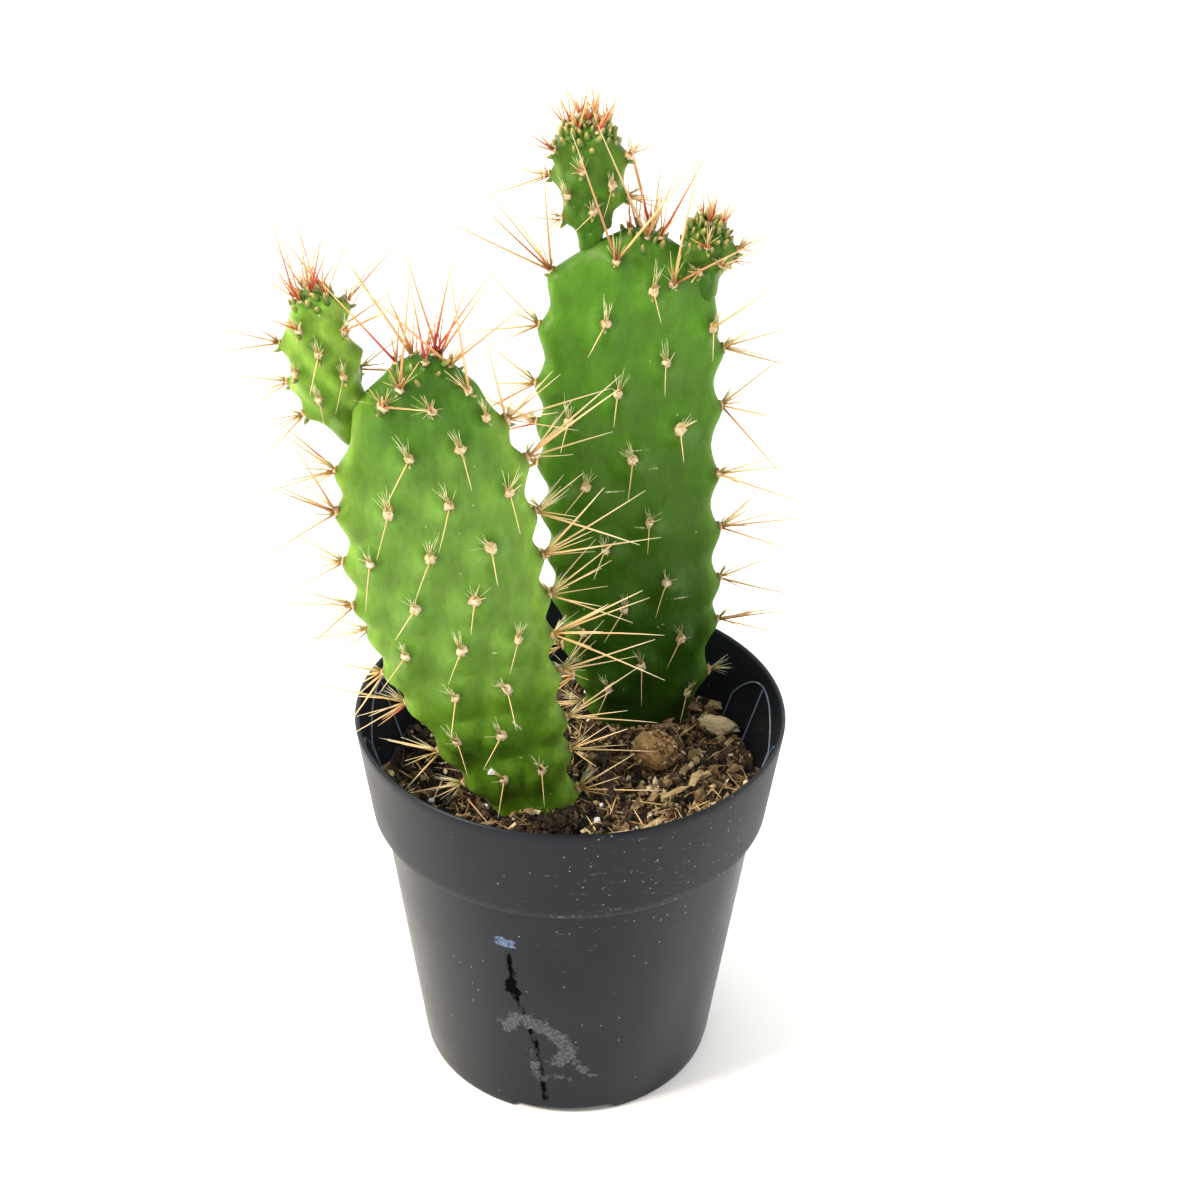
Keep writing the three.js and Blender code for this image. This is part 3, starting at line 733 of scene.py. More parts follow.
lump = {"at": (21, 1.5, 85.4), "size": (5.6, 5.2, 4.6), "seed": 5, "grains": 420}
chip = {"at": (38.2, 17, 83), "size": (5, 2.6, 2), "turn": -20, "seed": 9}
# bits of soil that can be told apart: [place, half sizes, turn in degrees, tone]
strips = [
    [(7.6, 0, 85.2), (5.5, 1.2, 0.6), -80, 0.12],
    [(9.6, -12, 84.6), (6.0, 1.0, 0.5), -84, 0.16],
    [(26, -14, 84.2), (4.2, 1.0, 0.6), 35, 0.75],
    [(31, -8, 84), (3.6, 1.2, 0.5), 70, 0.8],
    [(30, 22, 85.2), (4.4, 1.3, 0.8), -35, 0.7],
    [(-21, -27, 83), (4.5, 0.8, 0.4), 20, 0.7],
    [(12, -30, 83.6), (5.5, 0.9, 0.5), 14, 0.85],
    [(20, -27, 84), (4.6, 1.0, 0.5), 40, 0.8],
    [(24, 12, 85.6), (3.4, 1.1, 0.6), 10, 0.62],
]


def bodyRadius(z):
    return pot["footRadius"] + (pot["bodyTopRadius"] - pot["footRadius"]) * z / pot["collarFrom"]


def collarRadius(z):
    share = (z - pot["collarFrom"]) / (pot["height"] - pot["collarFrom"])
    return pot["collarRadius"] + (pot["rimRadius"] - pot["collarRadius"]) * share


def soilHeight(x, y):
    hx, hy, reach, depth = soil["hollow"]
    z = soil["level"] - depth * np.exp(-((x - hx) ** 2 + (y - hy) ** 2) / reach**2)
    for hx, hy, reach, rise in soil["heaps"]:
        z = z + rise * np.exp(-((x - hx) ** 2 + (y - hy) ** 2) / reach**2)
    z = z + 0.5 * np.sin(0.61 * x + 1.3) * np.sin(0.53 * y + 0.4)
    return z + 0.4 * np.sin(1.03 * x - 0.71 * y + 2.1)


def nearPad(pad, points, margin):
    p = moved(np.array(placeOf(pad).inverted()), np.atleast_2d(points))
    top = pad["stations"][-1][0]
    near = np.zeros(len(p), bool)
    for k in np.flatnonzero((p[:, 2] <= top + margin) & (p[:, 2] >= pad["stations"][0][0])):
        middle, halfWidth, halfThick = along(pad["stations"], min(p[k, 2], top))
        u, v = (p[k, 0] - middle) / (halfWidth + margin), p[k, 1] / (halfThick + margin)
        near[k] = u * u + v * v < 1
    return near


def nearGround(points):
    x, y, z = np.atleast_2d(points).T
    r = np.hypot(x, y)
    near = (r < pot["rimRadius"]) & (z < soilHeight(x, y) + 1.2)
    wall = np.where(z < pot["collarFrom"] + 2, pot["bodyTopRadius"], collarRadius(z))
    near |= (z < pot["height"] + 1.2) & (r > wall - pot["wall"] - 3.5) & (r < wall + 1.5)
    for piece in (lump, chip):
        d = (np.atleast_2d(points) - piece["at"]) / (np.array(piece["size"]) + 1.4)
        near |= (d**2).sum(1) < 1
    return near


def kindOf(areole):
    edge = smoothstep(abs(areole["out"][0]), 0.45, 0.85)
    return "tip" if areole["tipward"] > 0.6 else "edge" if edge > 0.5 else "face"


def spinesOf(pad, areole, n):
    # Which way the strong spines of an areole point, and how long they are, as in the part's source.
    kind = kindOf(areole)
    count = 1 if kind == "face" else 3 if kind == "edge" and draw(n) < 0.3 else 2
    shortest, longest = pad["spine"][kind]
    spines = []
    for k in range(count):
        m = n + 7.3 * (k + 1)
        fan = (k - (count - 1) / 2) * 0.75 if kind == "edge" else 0
        away = {"tip": 1, "edge": 1, "face": 0.5}[kind]
        climb = {"tip": 0.3, "edge": 0.1 + fan, "face": -0.8}[kind] + 0.5 * (draw(m + 1) - 0.5)
        across = {"tip": 1.7, "edge": 0.9, "face": 0.9}[kind] * (draw(m + 2) - 0.5)
        drift = 0.35 * np.sign(areole["out"][1]) if kind == "face" else 0
        way = away * areole["out"] + climb * areole["climb"] + (across + drift) * areole["sideways"]
        share = 0.45 + 0.55 * draw(m + 3) if k == 0 else draw(m + 3) ** 1.5
        spines.append(dict(way=unit(way), length=shortest + (longest - shortest) * share, m=m))
    return spines


def lineDistance(a, b):
    t = np.linspace(0, 1, 25)[:, None]
    p = a["root"] + (a["tip"] - a["root"]) * t
    line = b["tip"] - b["root"]
    s = np.clip(((p - b["root"]) @ line) / (line @ line), 0, 1)[:, None]
    return np.linalg.norm(p - (b["root"] + s * line), axis=1).min()


needles = []


def bentClear(pad, root, spine, out):
    # A spine is turned aside, and in the end shortened, until it is clear of every other piece.
    for k in range(16):
        aside = (1 if k % 2 else -1) * math.ceil(k / 2) * 0.16
        way = unit(turned(Matrix.Rotation(aside, 3, Vector(out)), spine["way"]) + 0.05 * k * out)
        length = spine["length"] * (1 if k < 9 else 0.55)
        needle = dict(spine, pad=pad["name"], root=root, tip=root + way * length, way=way, length=length)
        if any(o["pad"] != pad["name"] and lineDistance(needle, o) < form["spineClear"] for o in needles):
            continue
        steps = math.ceil(length / 1.2)
        points = root + (needle["tip"] - root) * (np.arange(1, steps + 1) / steps)[:, None]
        others = (o for o in pads if o is not pad)
        if not nearGround(points).any() and not any(nearPad(o, points, 3.4).any() for o in others):
            return needle
    return None


def growPad(pad):
    # The roots of the areoles in the part's frame, with what stands on each.
    place = placeOf(pad)
    areoles = areolesOf(pad)
    grown = []
    n = pad["seed"]
    for a in areoles:
        n += 31
        local = a["point"] + a["out"] * raisedBy(pad, areoles, a["point"][None])[0]
        root = moved(place, local)
        frameOf = {key: unit(turned(place, a[key])) for key in ("out", "climb", "sideways")}
        if any(o is not pad and nearPad(o, root, 2.6)[0] for o in pads) or nearGround(root)[0]:
            continue
        spines = []
        for spine in [] if a.get("bare") else spinesOf(pad, a, n):
            spine["way"] = unit(turned(place, spine["way"]))
            side = spine["way"] - frameOf["out"] * (spine["way"] @ frameOf["out"])
            start = root + 0.4 * frameOf["out"] + 0.7 * a["size"] * side
            needle = bentClear(pad, start, spine, frameOf["out"])
            if needle:
                needles.append(needle)
                spines.append(needle)
        grown.append(dict(a, **frameOf, root=root, spines=spines, local=a))
    return areoles, grown


# Materials of the plant


def opuntiaSkin(name, climb, margin):
    # Living cactus skin: a smooth waxy cuticle over wet tissue. It has a soft sheen, mottled green below it,
    # light that soaks in about a millimetre, paler margins (partly the thin flesh's own colour, partly
    # painted light), painted shade round each areole and in the valleys between tubercles, and small corky
    # scars.
    material, tree, surface, where = newMaterial(name)
    broad = noiseAt(tree, where, 14, 3.0, 0.6)
    stretched = addNode(tree, "Mapping", Vector=where, Scale=(1, 1, 0.45)).outputs[0]
    mottle = noiseAt(tree, stretched, 2.6, 6.0, 0.7)
    grain = noiseAt(tree, where, 0.5, 3.0)
    names = ("areoleNear", "scarNear", "edgeward", "climbed", "mound")
    areoleNear, scarNear, edgeward, climbed, mound = (pointValue(tree, name) for name in names)
    height = counted(tree, "ADD", climbed, counted(tree, "MULTIPLY_ADD", broad, 0.2, -0.1))
    # paler towards the margins: partly the thin flesh's own colour, partly painted light where the margins
    # catch light
    green = mixed(tree, counted(tree, "MULTIPLY", edgeward, 0.6), ramp(tree, height, climb), margin)
    # a darker ring round each areole: painted shade at the foot of the raised areole and its wool
    green = mixed(tree, ranged(tree, areoleNear, 1.1, 3.4, 0.7, 0.0), green, "#8c9c5c", "MULTIPLY")
    # darker in the valleys between tubercles and a little lighter on the swellings: painted shade and painted
    # light; the mottle after it is the skin's own
    for pattern in (ranged(tree, mound, 0.0, 0.8, 0.88, 1.06), ranged(tree, mottle, 0.3, 0.7, 0.78, 1.2)):
        green = mixed(tree, 1.0, green, pattern, "MULTIPLY")
    # corky scars: drawn ones, and fine pale dots all over
    ragged = counted(tree, "MULTIPLY_ADD", grain, 0.5, scarNear)
    scar = ranged(tree, ragged, 0.3, 0.55, 0.85, 0.0)
    cells = addNode(tree, "TexVoronoi", Vector=where, Scale=1 / (3.4 * mm))
    dot = ranged(tree, cells.outputs["Distance"], 0.03, 0.075, 0.6, 0.0)
    chosen = addNode(tree, "SeparateColor", in0=cells.outputs["Color"]).outputs[0]
    dots = counted(tree, "MULTIPLY", dot, counted(tree, "GREATER_THAN", chosen, 0.7))
    green = mixed(tree, counted(tree, "MAXIMUM", scar, dots), green, "#d9d6ae")
    relief = bumped(tree, mound, 1.6, 0.8)
    for pattern, depth, strength in ((broad, 1.6, 0.6), (mottle, 0.2, 0.7), (grain, 0.03, 0.5)):
        relief = bumped(tree, pattern, depth, strength, Normal=relief)
    feed(tree, surface, Base_Color=green, Roughness=ranged(tree, mottle, 0.3, 0.7, 0.36, 0.5), Normal=relief)
    feed(tree, surface, IOR=1.43, Specular_IOR_Level=0.3, Specular_Tint="#f4f3c4")
    feed(tree, surface, Subsurface_Weight=0.15, Subsurface_Radius=(1.0, 1.4, 0.3), Subsurface_Scale=1.0 * mm)
    return material


def spineHorn(name, straw, ruddy):
    # Spines are dry horn: hard, smooth and a little waxy, darkest at the root and clearer towards the point.
    # Those of a growing tip are crimson at the root and go through orange to yellow.
    material, tree, surface = newMaterial(name)[:3]
    far, red, tone = (pointValue(tree, name) for name in ("along", "ruddy", "tone"))
    horn = mixed(tree, red, ramp(tree, far, straw), ramp(tree, far, ruddy))
    horn = mixed(tree, 1.0, horn, ranged(tree, tone, 0.0, 1.0, 0.62, 1.12), "MULTIPLY")
    feed(tree, surface, Base_Color=horn, Roughness=0.38, IOR=1.54)
    return material


def areoleWool(name, light, dark):
    # Areole wool: short matted felt, cream where it is fresh and tan where it has weathered, and darker
    # towards its rim and underside, where painted shade falls as it sits on the skin.
    material, tree, surface, where = newMaterial(name)
    tuft = noiseAt(tree, where, 0.7, 4.0)
    felt = mixed(tree, ranged(tree, tuft, 0.32, 0.66), dark, light)
    # rim: on the cushions, painted shade towards the side that sits on the skin; on the loose hairs, a random
    # tan tone
    felt = mixed(tree, pointValue(tree, "rim"), felt, "#a8824a", "MULTIPLY")
    feed(tree, surface, Base_Color=felt, Roughness=0.95, Normal=bumped(tree, tuft, 0.3, 0.9))
    feed(tree, surface, Sheen_Weight=0.25, Sheen_Roughness=0.5)
    return material


def leafScale():
    # The small soft leaf under a young areole: thin green flesh that yellows to its point.
    material, tree, surface = newMaterial("leafScale")[:3]
    stops = [(0.0, "#3f6a1c"), (0.45, "#5f8029"), (0.75, "#8f8a44"), (1.0, "#b9a262")]
    shade = ranged(tree, pointValue(tree, "tone"), 0.0, 1.0, 0.6, 1.1)
    leaf = mixed(tree, 1.0, ramp(tree, pointValue(tree, "along"), stops), shade, "MULTIPLY")
    feed(tree, surface, Base_Color=leaf, Roughness=0.45)
    return material


# Greens from the soil to the growing tip. The front pad is lightest half way up.
# The back pad is lightest near its top and darkens to its foot: partly its own deeper green, partly painted
# shade where the front pad shades it.
frontClimb = [(0.0, "#4f7616"), (0.25, "#56801e"), (0.45, "#658e36"), (0.75, "#638d35")]
frontClimb += [(0.9, "#44721e"), (1.0, "#3a6618")]
backClimb = [(0.0, "#203c08"), (0.2, "#2c500c"), (0.45, "#386212"), (0.75, "#487620")]
backClimb += [(0.9, "#528426"), (1.0, "#44721c")]
youngClimb = [(0.0, "#587f22"), (0.4, "#6f9a30"), (0.8, "#7aa23a"), (1.0, "#5f8f30")]
youngBackClimb = [(0.0, "#38661a"), (0.5, "#456f1c"), (1.0, "#4a6e20")]
skins = {
    "pad_front": opuntiaSkin("opuntiaSkinLight", frontClimb, "#86ad3c"),
    "pad_back": opuntiaSkin("opuntiaSkinDeep", backClimb, "#5f8c2a"),
    "young_pad_front": opuntiaSkin("opuntiaSkinYoung", youngClimb, "#8fb24a"),
    "young_pad_back": opuntiaSkin("opuntiaSkinYoungBack", youngBackClimb, "#6d8f30"),
}
skins["bud_back"] = skins["young_pad_back"]
hornMaterial = spineHorn(
    "spineHorn",
    [(0.0, "#b98a48"), (0.15, "#d8b06c"), (0.6, "#e6c48c"), (1.0, "#f3e2b8")],
    [(0.0, "#9c1c20"), (0.3, "#c4452c"), (0.6, "#dc9850"), (1.0, "#ecc988")],
)
glochidMaterial = spineHorn(
    "glochidHorn",
    [(0.0, "#b8ab56"), (0.4, "#ddd28e"), (1.0, "#f6f0cf")],
    [(0.0, "#a03a20"), (0.5, "#c98442"), (1.0, "#e8cd8c")],
)
woolMaterial = areoleWool("areoleWool", "#f0e6c2", "#b99a62")
scaleMaterial = leafScale()


# What stands on the areoles

tufts = {
    "woolRadius": (1.2, 1.35, 0.75),
    "woolHairs": 24,
    "woolHairLength": (0.4, 0.95),
    "woolHairRadius": 0.06,
    # real glochids are thinner than a tenth of a millimetre: drawn as coarse as they need to show
    "glochidRadius": 0.085,
    # kind: [how many, shortest, longest, outward, upward, spread]
    "glochids": {
        "face": (17, 2.2, 8.0, 0.5, 1.2, 0.36),
        "edge": (22, 2.4, 9.0, 0.85, 0.8, 0.6),
        "tip": (18, 2.4, 9.0, 0.7, 0.9, 0.7),
    },
    # kind: [how many, shortest, longest, radius]
    "fineSpines": {"face": (1, 3, 7, 0.15), "edge": (4, 6, 16, 0.2), "tip": (2, 5, 14, 0.18)},
}


def clearOf(pad, root, tip):
    points = root + (tip - root) * np.linspace(0.3, 1, 5)[:, None]
    kin = (pad["name"], pad.get("parent"))
    others = [o for o in pads if o["name"] not in kin and o.get("parent") != pad["name"]]
    return not nearGround(points).any() and not any(nearPad(o, points, 1.0).any() for o in others)


def hornNeedles(name, template, rows, tones):
    # a row is root, way, length, radius, bend and how red
    *columns, reds = (np.array(column, float) for column in zip(*rows))
    places, z = needlePlaces(template, *columns)
    return strew(name, template, places, along=np.tile(z, (len(rows), 1)), ruddy=reds, tone=tones)


def spineMesh(pad, grown):
    rng = np.random.default_rng(pad["seed"])
    template = needleTemplate(6, 5)
    young = "parent" in pad
    rows = []
    for a in grown:
        kind = kindOf(a["local"])
        near = a["tipward"]
        for needle in a["spines"]:
            red = np.clip(near * 1.5 * draw(needle["m"] + 9) - 0.3, 0, 1)
            if kind == "edge" and draw(needle["m"] + 12) < 0.09:
                red = 0.8
            thick = form["spineRadius"] * (0.72 if young else 0.95) * (0.75 + 0.35 * draw(needle["m"] + 5))
            thick *= 0.55 if kind == "face" else 0.92
            sag = (rng.normal(size=3) - up * 0.3) * 0.022 * needle["length"]
            way, length = needle["way"], needle["length"]
            rows.append((needle["root"] - 0.7 * way, way, length + 0.7, thick, sag, red))
        count, shortest, longest, radius = tufts["fineSpines"][kind]
        for k in range(count):
            spread = rng.normal(size=3)
            upward = {"face": 0.9, "edge": rng.uniform(-0.7, 0.9), "tip": 0.9}[kind]
            way = unit(a["out"] + upward * a["climb"] + 0.45 * (spread @ a["sideways"]) * a["sideways"])
            length = rng.uniform(shortest, longest) * (0.6 if young else 1)
            red = np.clip(near * rng.uniform(-0.3, 1.1), 0, 1)
            start = a["root"] + 0.3 * a["out"] + 0.5 * a["size"] * rng.normal(size=3) * 0.5
            if clearOf(pad, start, start + way * length):
                sag = rng.normal(size=3) * 0.03 * length
                rows.append((start, way, length, radius, sag, red))
    place = placeOf(pad)
    facing = [a for a in grown if a["local"]["out"][1] < 0.2]
    for x, z, tipX, tipZ in pad.get("long", ()):
        # from the nearest areole on the front
        near = [a["local"]["point"][[0, 2]] - (x, z) for a in facing]
        root = facing[int(np.argmin([np.hypot(*away) for away in near]))]["root"]
        way = moved(place, np.array([tipX, -form["longForward"], tipZ])) - root
        length = np.linalg.norm(way)
        sag = (rng.normal(size=3) - up * 0.3) * 0.02 * length
        rows.append((root, way, length, form["longRadius"], sag, np.clip(rng.uniform(-0.5, 0.8), 0, 1)))
    return hornNeedles(pad["name"] + "_spines", template, rows, rng.uniform(0.25, 1, len(rows)))


def glochidMesh(pad, grown):
    rng = np.random.default_rng(pad["seed"] + 1)
    template = needleTemplate(3, 2)
    young = "parent" in pad
    rows = []
    for a in grown:
        count, shortest, longest, outward, upward, spread = tufts["glochids"][kindOf(a["local"])]
        brush = rng.normal(size=2) * 0.25
        for k in range(int(count * a["size"] * rng.uniform(0.6, 1.25))):
            side, high = rng.normal(size=2) * spread
            way = outward * a["out"] + (upward + 0.5 * high + brush[0]) * a["climb"]
            way = unit(way + (side * 0.6 - 0.12 + brush[1]) * a["sideways"])
            length = (shortest + (longest - shortest) * rng.beta(1.6, 2.2)) * (0.7 if young else 1)
            aside = 0.5 * rng.uniform(-1, 1) * a["sideways"]
            start = a["root"] + a["size"] * (0.5 * a["climb"] + aside + 0.2 * a["out"])
            if not clearOf(pad, start, start + way * length):
                continue
            sag = rng.normal(size=3) * 0.05 * length
            red = np.clip(a["tipward"] * rng.uniform(-0.3, 0.9), 0, 1)
            rows.append((start, way, length, tufts["glochidRadius"] * rng.uniform(0.7, 1.2), sag, red))
    return hornNeedles(pad["name"] + "_glochids", template, rows, rng.uniform(0.4, 1, len(rows)))


def woolMesh(pad, grown):
    # A matted cushion on each areole, and the loose hairs that stand out of it.
    rng = np.random.default_rng(pad["seed"] + 2)
    bm = bmesh.new()
    bmesh.ops.create_icosphere(bm, subdivisions=2, radius=1)
    ball = meshFrom(bm, "woolTemplate")
    shape = pointsOf(ball)
    # darker towards the cushion's rim and underside, where it sits on the skin: painted shade
    rim = np.clip(0.9 - 1.1 * shape[:, 2], 0, 1)
    cushions, rows = [], []
    for a in grown:
        size = a["size"] * (0.8 if "parent" in pad else 1) * rng.uniform(0.85, 1.12)
        width, height, thick = (s * size * rng.uniform(0.9, 1.1) for s in tufts["woolRadius"])
        uneven = 1 + 0.16 * rng.normal(size=len(shape))[:, None]
        p = shape * uneven * (width, height, thick)
        axes = np.array([a["sideways"], unit(np.cross(a["out"], a["sideways"])), a["out"]])
        cushions.append(a["root"] - 0.15 * a["out"] + p @ axes)
        for k in range(tufts["woolHairs"]):
            d = unit(rng.normal(size=3) + 0.6 * a["out"])
            start = a["root"] + (d * 0.8 * (width, height, thick)) @ axes
            way = unit(d @ axes + 0.5 * rng.normal(size=3))
            length = size * rng.uniform(*tufts["woolHairLength"])
            rows.append((start, way, length, tufts["woolHairRadius"], rng.normal(size=3) * 0.25 * length))
    cushionMesh = strew("cushions", ball, np.array(cushions), rim=np.tile(rim, (len(cushions), 1)))
    template = needleTemplate(3, 2)
    places, z = needlePlaces(template, *(np.array(r, float) for r in zip(*rows)))
    hairMesh = strew("hairs", template, places, rim=rng.uniform(0, 0.6, len(places)))
    bm = bmesh.new()
    for part in (cushionMesh, hairMesh):
        bm.from_mesh(part)
    return meshFrom(bm, pad["name"] + "_wool")


def scaleMesh(pad, grown):
    # A small pointed leaf under each young areole, and a crowd of them over the growing tip.
    rng = np.random.default_rng(pad["seed"] + 3)
    template = needleTemplate(6, 3)
    young = "parent" in pad
    rows = []
    for a in grown:
        if a["tipward"] > 0.02 or young:
            root = a["root"] - a["size"] * 1.1 * a["climb"] - 0.3 * a["out"]
            way = a["out"] - 0.55 * a["climb"] + 0.15 * rng.normal() * a["sideways"]
            rows.append((root, way, a["size"] * rng.uniform(1.6, 2.3), 0.62 * a["size"], 0.35 * up))
    place, tip = placeOf(pad), pad["tip"]
    middle = along(pad["stations"], pad["stations"][-1][0])[0]
    for i in range(tip["scales"]):
        reach = math.sqrt((i + 0.5) / tip["scales"])
        x, y = (reach * f(i * 2.4) * s for f, s in zip((math.cos, math.sin), tip["scaleSpread"]))
        point = np.array([tip["at"] + x, y, float(tipHeight(pad, tip["at"] + x - middle, y))])
        out = unit([x / 6, y / 4, 1])
        bend = 0.25 * unit(up - out * out[2])
        way = turned(place, out + 0.2 * rng.normal(size=3))
        rows.append((moved(place, point), way, rng.uniform(1.7, 2.9), rng.uniform(0.6, 0.95), bend))
    places, z = needlePlaces(template, *(np.array(r, float) for r in zip(*rows)), keepsRadius=0.45)
    far = np.tile(z, (len(rows), 1))
    return strew(pad["name"] + "_scales", template, places, along=far, tone=rng.uniform(0.2, 1, len(rows)))


for pad in pads:
    areoles, grown = growPad(pad)
    name = pad["name"]
    addPiece(name + "_skin", skinMesh(pad, areoles), skins[name], pad["slot"], name)
    for kind, makeMesh, material in (
        ("spines", spineMesh, hornMaterial),
        ("glochids", glochidMesh, glochidMaterial),
        ("wool", woolMesh, woolMaterial),
        ("scales", scaleMesh, scaleMaterial),
    ):
        addPiece(f"{name}_{kind}", makeMesh(pad, grown), material, pad["slot"])
    print("plant:", name, len(grown), "areoles,", sum(len(a["spines"]) for a in grown), "strong spines")


# Pot


def turnedMesh(name, profile, sides):
    # A profile of (radius, height) points that starts and ends on the axis, turned round Z.
    bm = bmesh.new()
    points = [bm.verts.new((r, 0, z)) for r, z in profile]
    edges = [bm.edges.new(pair) for pair in zip(points, points[1:])]
    turn = {"cent": (0, 0, 0), "axis": (0, 0, 1), "angle": 2 * math.pi, "steps": sides}
    bmesh.ops.spin(bm, geom=points + edges, use_merge=True, **turn)
    bmesh.ops.remove_doubles(bm, verts=bm.verts[:], dist=1e-4)
    bmesh.ops.recalc_face_normals(bm, faces=bm.faces[:])
    return meshFrom(bm, name)


def barMesh(name, outline, halfWidth, degrees):
    # A (radius, height) outline as a straight bar that crosses the radius at an angle.
    bm = bmesh.new()
    face = bm.faces.new([bm.verts.new((r, -halfWidth, z)) for r, z in outline])
    made = bmesh.ops.extrude_face_region(bm, geom=[face])
    far = [v for v in made["geom"] if isinstance(v, bmesh.types.BMVert)]
    bmesh.ops.translate(bm, verts=far, vec=(0, 2 * halfWidth, 0))
    bmesh.ops.recalc_face_normals(bm, faces=bm.faces[:])
    turn = Matrix.Rotation(math.radians(degrees), 3, "Z")
    bmesh.ops.rotate(bm, verts=bm.verts[:], cent=(0, 0, 0), matrix=turn)
    return meshFrom(bm, name, smooth=False)


def joined(mesh, operation, *others):
    # A boolean of closed meshes, one after another.
    main = bpy.data.objects.new("boolean", mesh)
    bpy.context.scene.collection.objects.link(main)
    extra = []
    for other in others:
        extra.append(bpy.data.objects.new("cutter", other))
        bpy.context.scene.collection.objects.link(extra[-1])
        step = main.modifiers.new("cut", "BOOLEAN")
        step.operation = operation
        step.solver = "MANIFOLD"
        step.object = extra[-1]
    graph = bpy.context.evaluated_depsgraph_get()
    made = bpy.data.meshes.new_from_object(main.evaluated_get(graph))
    for o in [main] + extra:
        bpy.data.objects.remove(o)
    return made


def potRoomMesh():
    wall, floor, rim, outside = (pot[key] for key in ("wall", "floor", "height", "outside"))
    step = pot["collarFrom"] + wall
    room = turnedMesh(
        "room",
        [
            (0, floor),
            (bodyRadius(floor) - wall - 1.2, floor),
            (bodyRadius(floor) - wall - 0.3, floor + 0.35),
            (bodyRadius(floor) - wall, floor + 1.3),
            (bodyRadius(step) - wall, step - 0.3),
            (bodyRadius(step) - wall + 0.4, step),
            (collarRadius(step) - wall - 0.3, step + 0.7),
            (collarRadius(step) - wall, step + 1.4),
            (collarRadius(rim) - wall, rim - 0.7),
            (collarRadius(rim) - wall + 0.18, rim - 0.3),
            (collarRadius(rim) - wall + 0.55, rim),
            (collarRadius(rim) - wall + 0.55, rim + 1),
            (0, rim + 1),
        ],
        pot["sides"],
    )
    bars = []
    low, deepest, high = pot["lugLow"], pot["lugDeepest"], pot["lugHigh"]
    for degrees in pot["lugAngles"]:
        flat = [low, deepest, high, (outside, high[1]), (outside, low[1])]
        bars.append(barMesh("lug", flat, pot["lugHalfWidth"], degrees))
    return joined(room, "DIFFERENCE", *bars)


def runOf(low, high, count):
    # evenly spaced points of the wall, so that marks can follow it
    return [tuple(p) for p in np.linspace(low, high, count)]


def potMesh():
    wall, outside = pot["wall"], pot["outside"]
    top, foot, step = pot["height"], pot["footRadius"], pot["collarFrom"]
    profile = [(0, 0), (foot - 1.0, 0), (foot - 0.45, 0.12), (foot - 0.05, 0.45)]
    profile += runOf((bodyRadius(1.0), 1.0), (pot["bodyTopRadius"], step), 38)
    profile += [(pot["collarRadius"] - 0.6, step), (pot["collarRadius"] - 0.2, step + 0.15)]
    profile += runOf((pot["collarRadius"], step + 0.55), (pot["rimRadius"], top - 0.7), 14)
    profile += [(pot["rimRadius"] - 0.12, top - 0.25), (pot["rimRadius"] - 0.42, top), (0, top)]
    shell = turnedMesh("potShell", profile, pot["sides"])
    # the space of the pockets stays within the collar's inside
    behindLow, behindHigh = 40, 94
    cone = [(0, behindLow), (0, behindHigh)]
    cone[1:1] = [(collarRadius(z) - wall, z) for z in (behindLow, behindHigh)]
    behind = turnedMesh("behind", cone, pot["sides"])
    cutters = [potRoomMesh()]
    low, deepest, high = pot["lugLow"], pot["lugDeepest"], pot["lugHigh"]
    for degrees in pot["lugAngles"]:
        bars = []
        for first, last, halfWidth in (
            (low, deepest, pot["lugHalfWidth"] + 1),
            (deepest, high, pot["lugHalfWidth"] - wall),
        ):
            outline = [first, last, (outside, last[1]), (outside, first[1])]
            bars.append(barMesh("lugBar", [(r + wall, z) for r, z in outline], halfWidth, degrees))
        cutters += [bars[0], joined(bars[1], "INTERSECT", behind.copy())]
    for degrees in pot["slotAngles"]:
        slotFrom, slotTop = pot["slotFrom"], pot["slotHeight"]
        slot = [(slotFrom, -1), (outside, -1), (outside, slotTop), (slotFrom, slotTop)]
        cutters.append(barMesh("slot", slot, pot["slotWidth"] / 2, degrees))
        angle, far = math.radians(degrees + 45), pot["holeCircle"]
        hole = {"segments": 40, "radius1": pot["holeRadius"], "radius2": pot["holeRadius"], "depth": 4}
        place = Matrix.Translation((far * math.cos(angle), far * math.sin(angle), 1))
        bm = bmesh.new()
        bmesh.ops.create_cone(bm, cap_ends=True, matrix=place, **hole)
        cutters.append(meshFrom(bm, "hole"))
    mesh = joined(shell, "DIFFERENCE", *cutters)
    mesh.shade_smooth()
    mesh.set_sharp_from_angle(angle=math.radians(28))
    return mesh


# Marks on the outside of the wall, each a line of (degrees from the front, height in mm).
potMarks = {
    "drip": [
        (-17.6, 58), (-16.4, 50.6), (-17.4, 45.7), (-15.3, 42.6), (-11.1, 31.7), (-9.3, 24.4), (-6.6, 4),
    ],
    "blob": [(-16.6, 48.5), (-17.8, 45.5), (-14.8, 44.5)],
    "chip": [(-19.6, 61.6), (-15.6, 61.4)],
    "scuff": [
        (-19.5, 31.8), (-16.4, 35.6), (-9.6, 34.8), (-4.0, 31.4), (0.4, 27.1), (2.0, 23.3), (-2.0, 20.5),
    ],
    "scuffLow": [(-10.7, 24.1), (-10.4, 15.5), (-8.6, 13.6), (0.8, 14.3)],
    "scuffRight": [(4.0, 20.5), (8.0, 16.0), (10.9, 15.3)],
    "dusty": [(9.3, 78.7), (19.5, 84.9), (33.3, 89.8), (38.0, 81.5)],
    "wornEdge": [(-3.0, 75.2), (6.8, 75.6), (14.6, 76.4)],
}


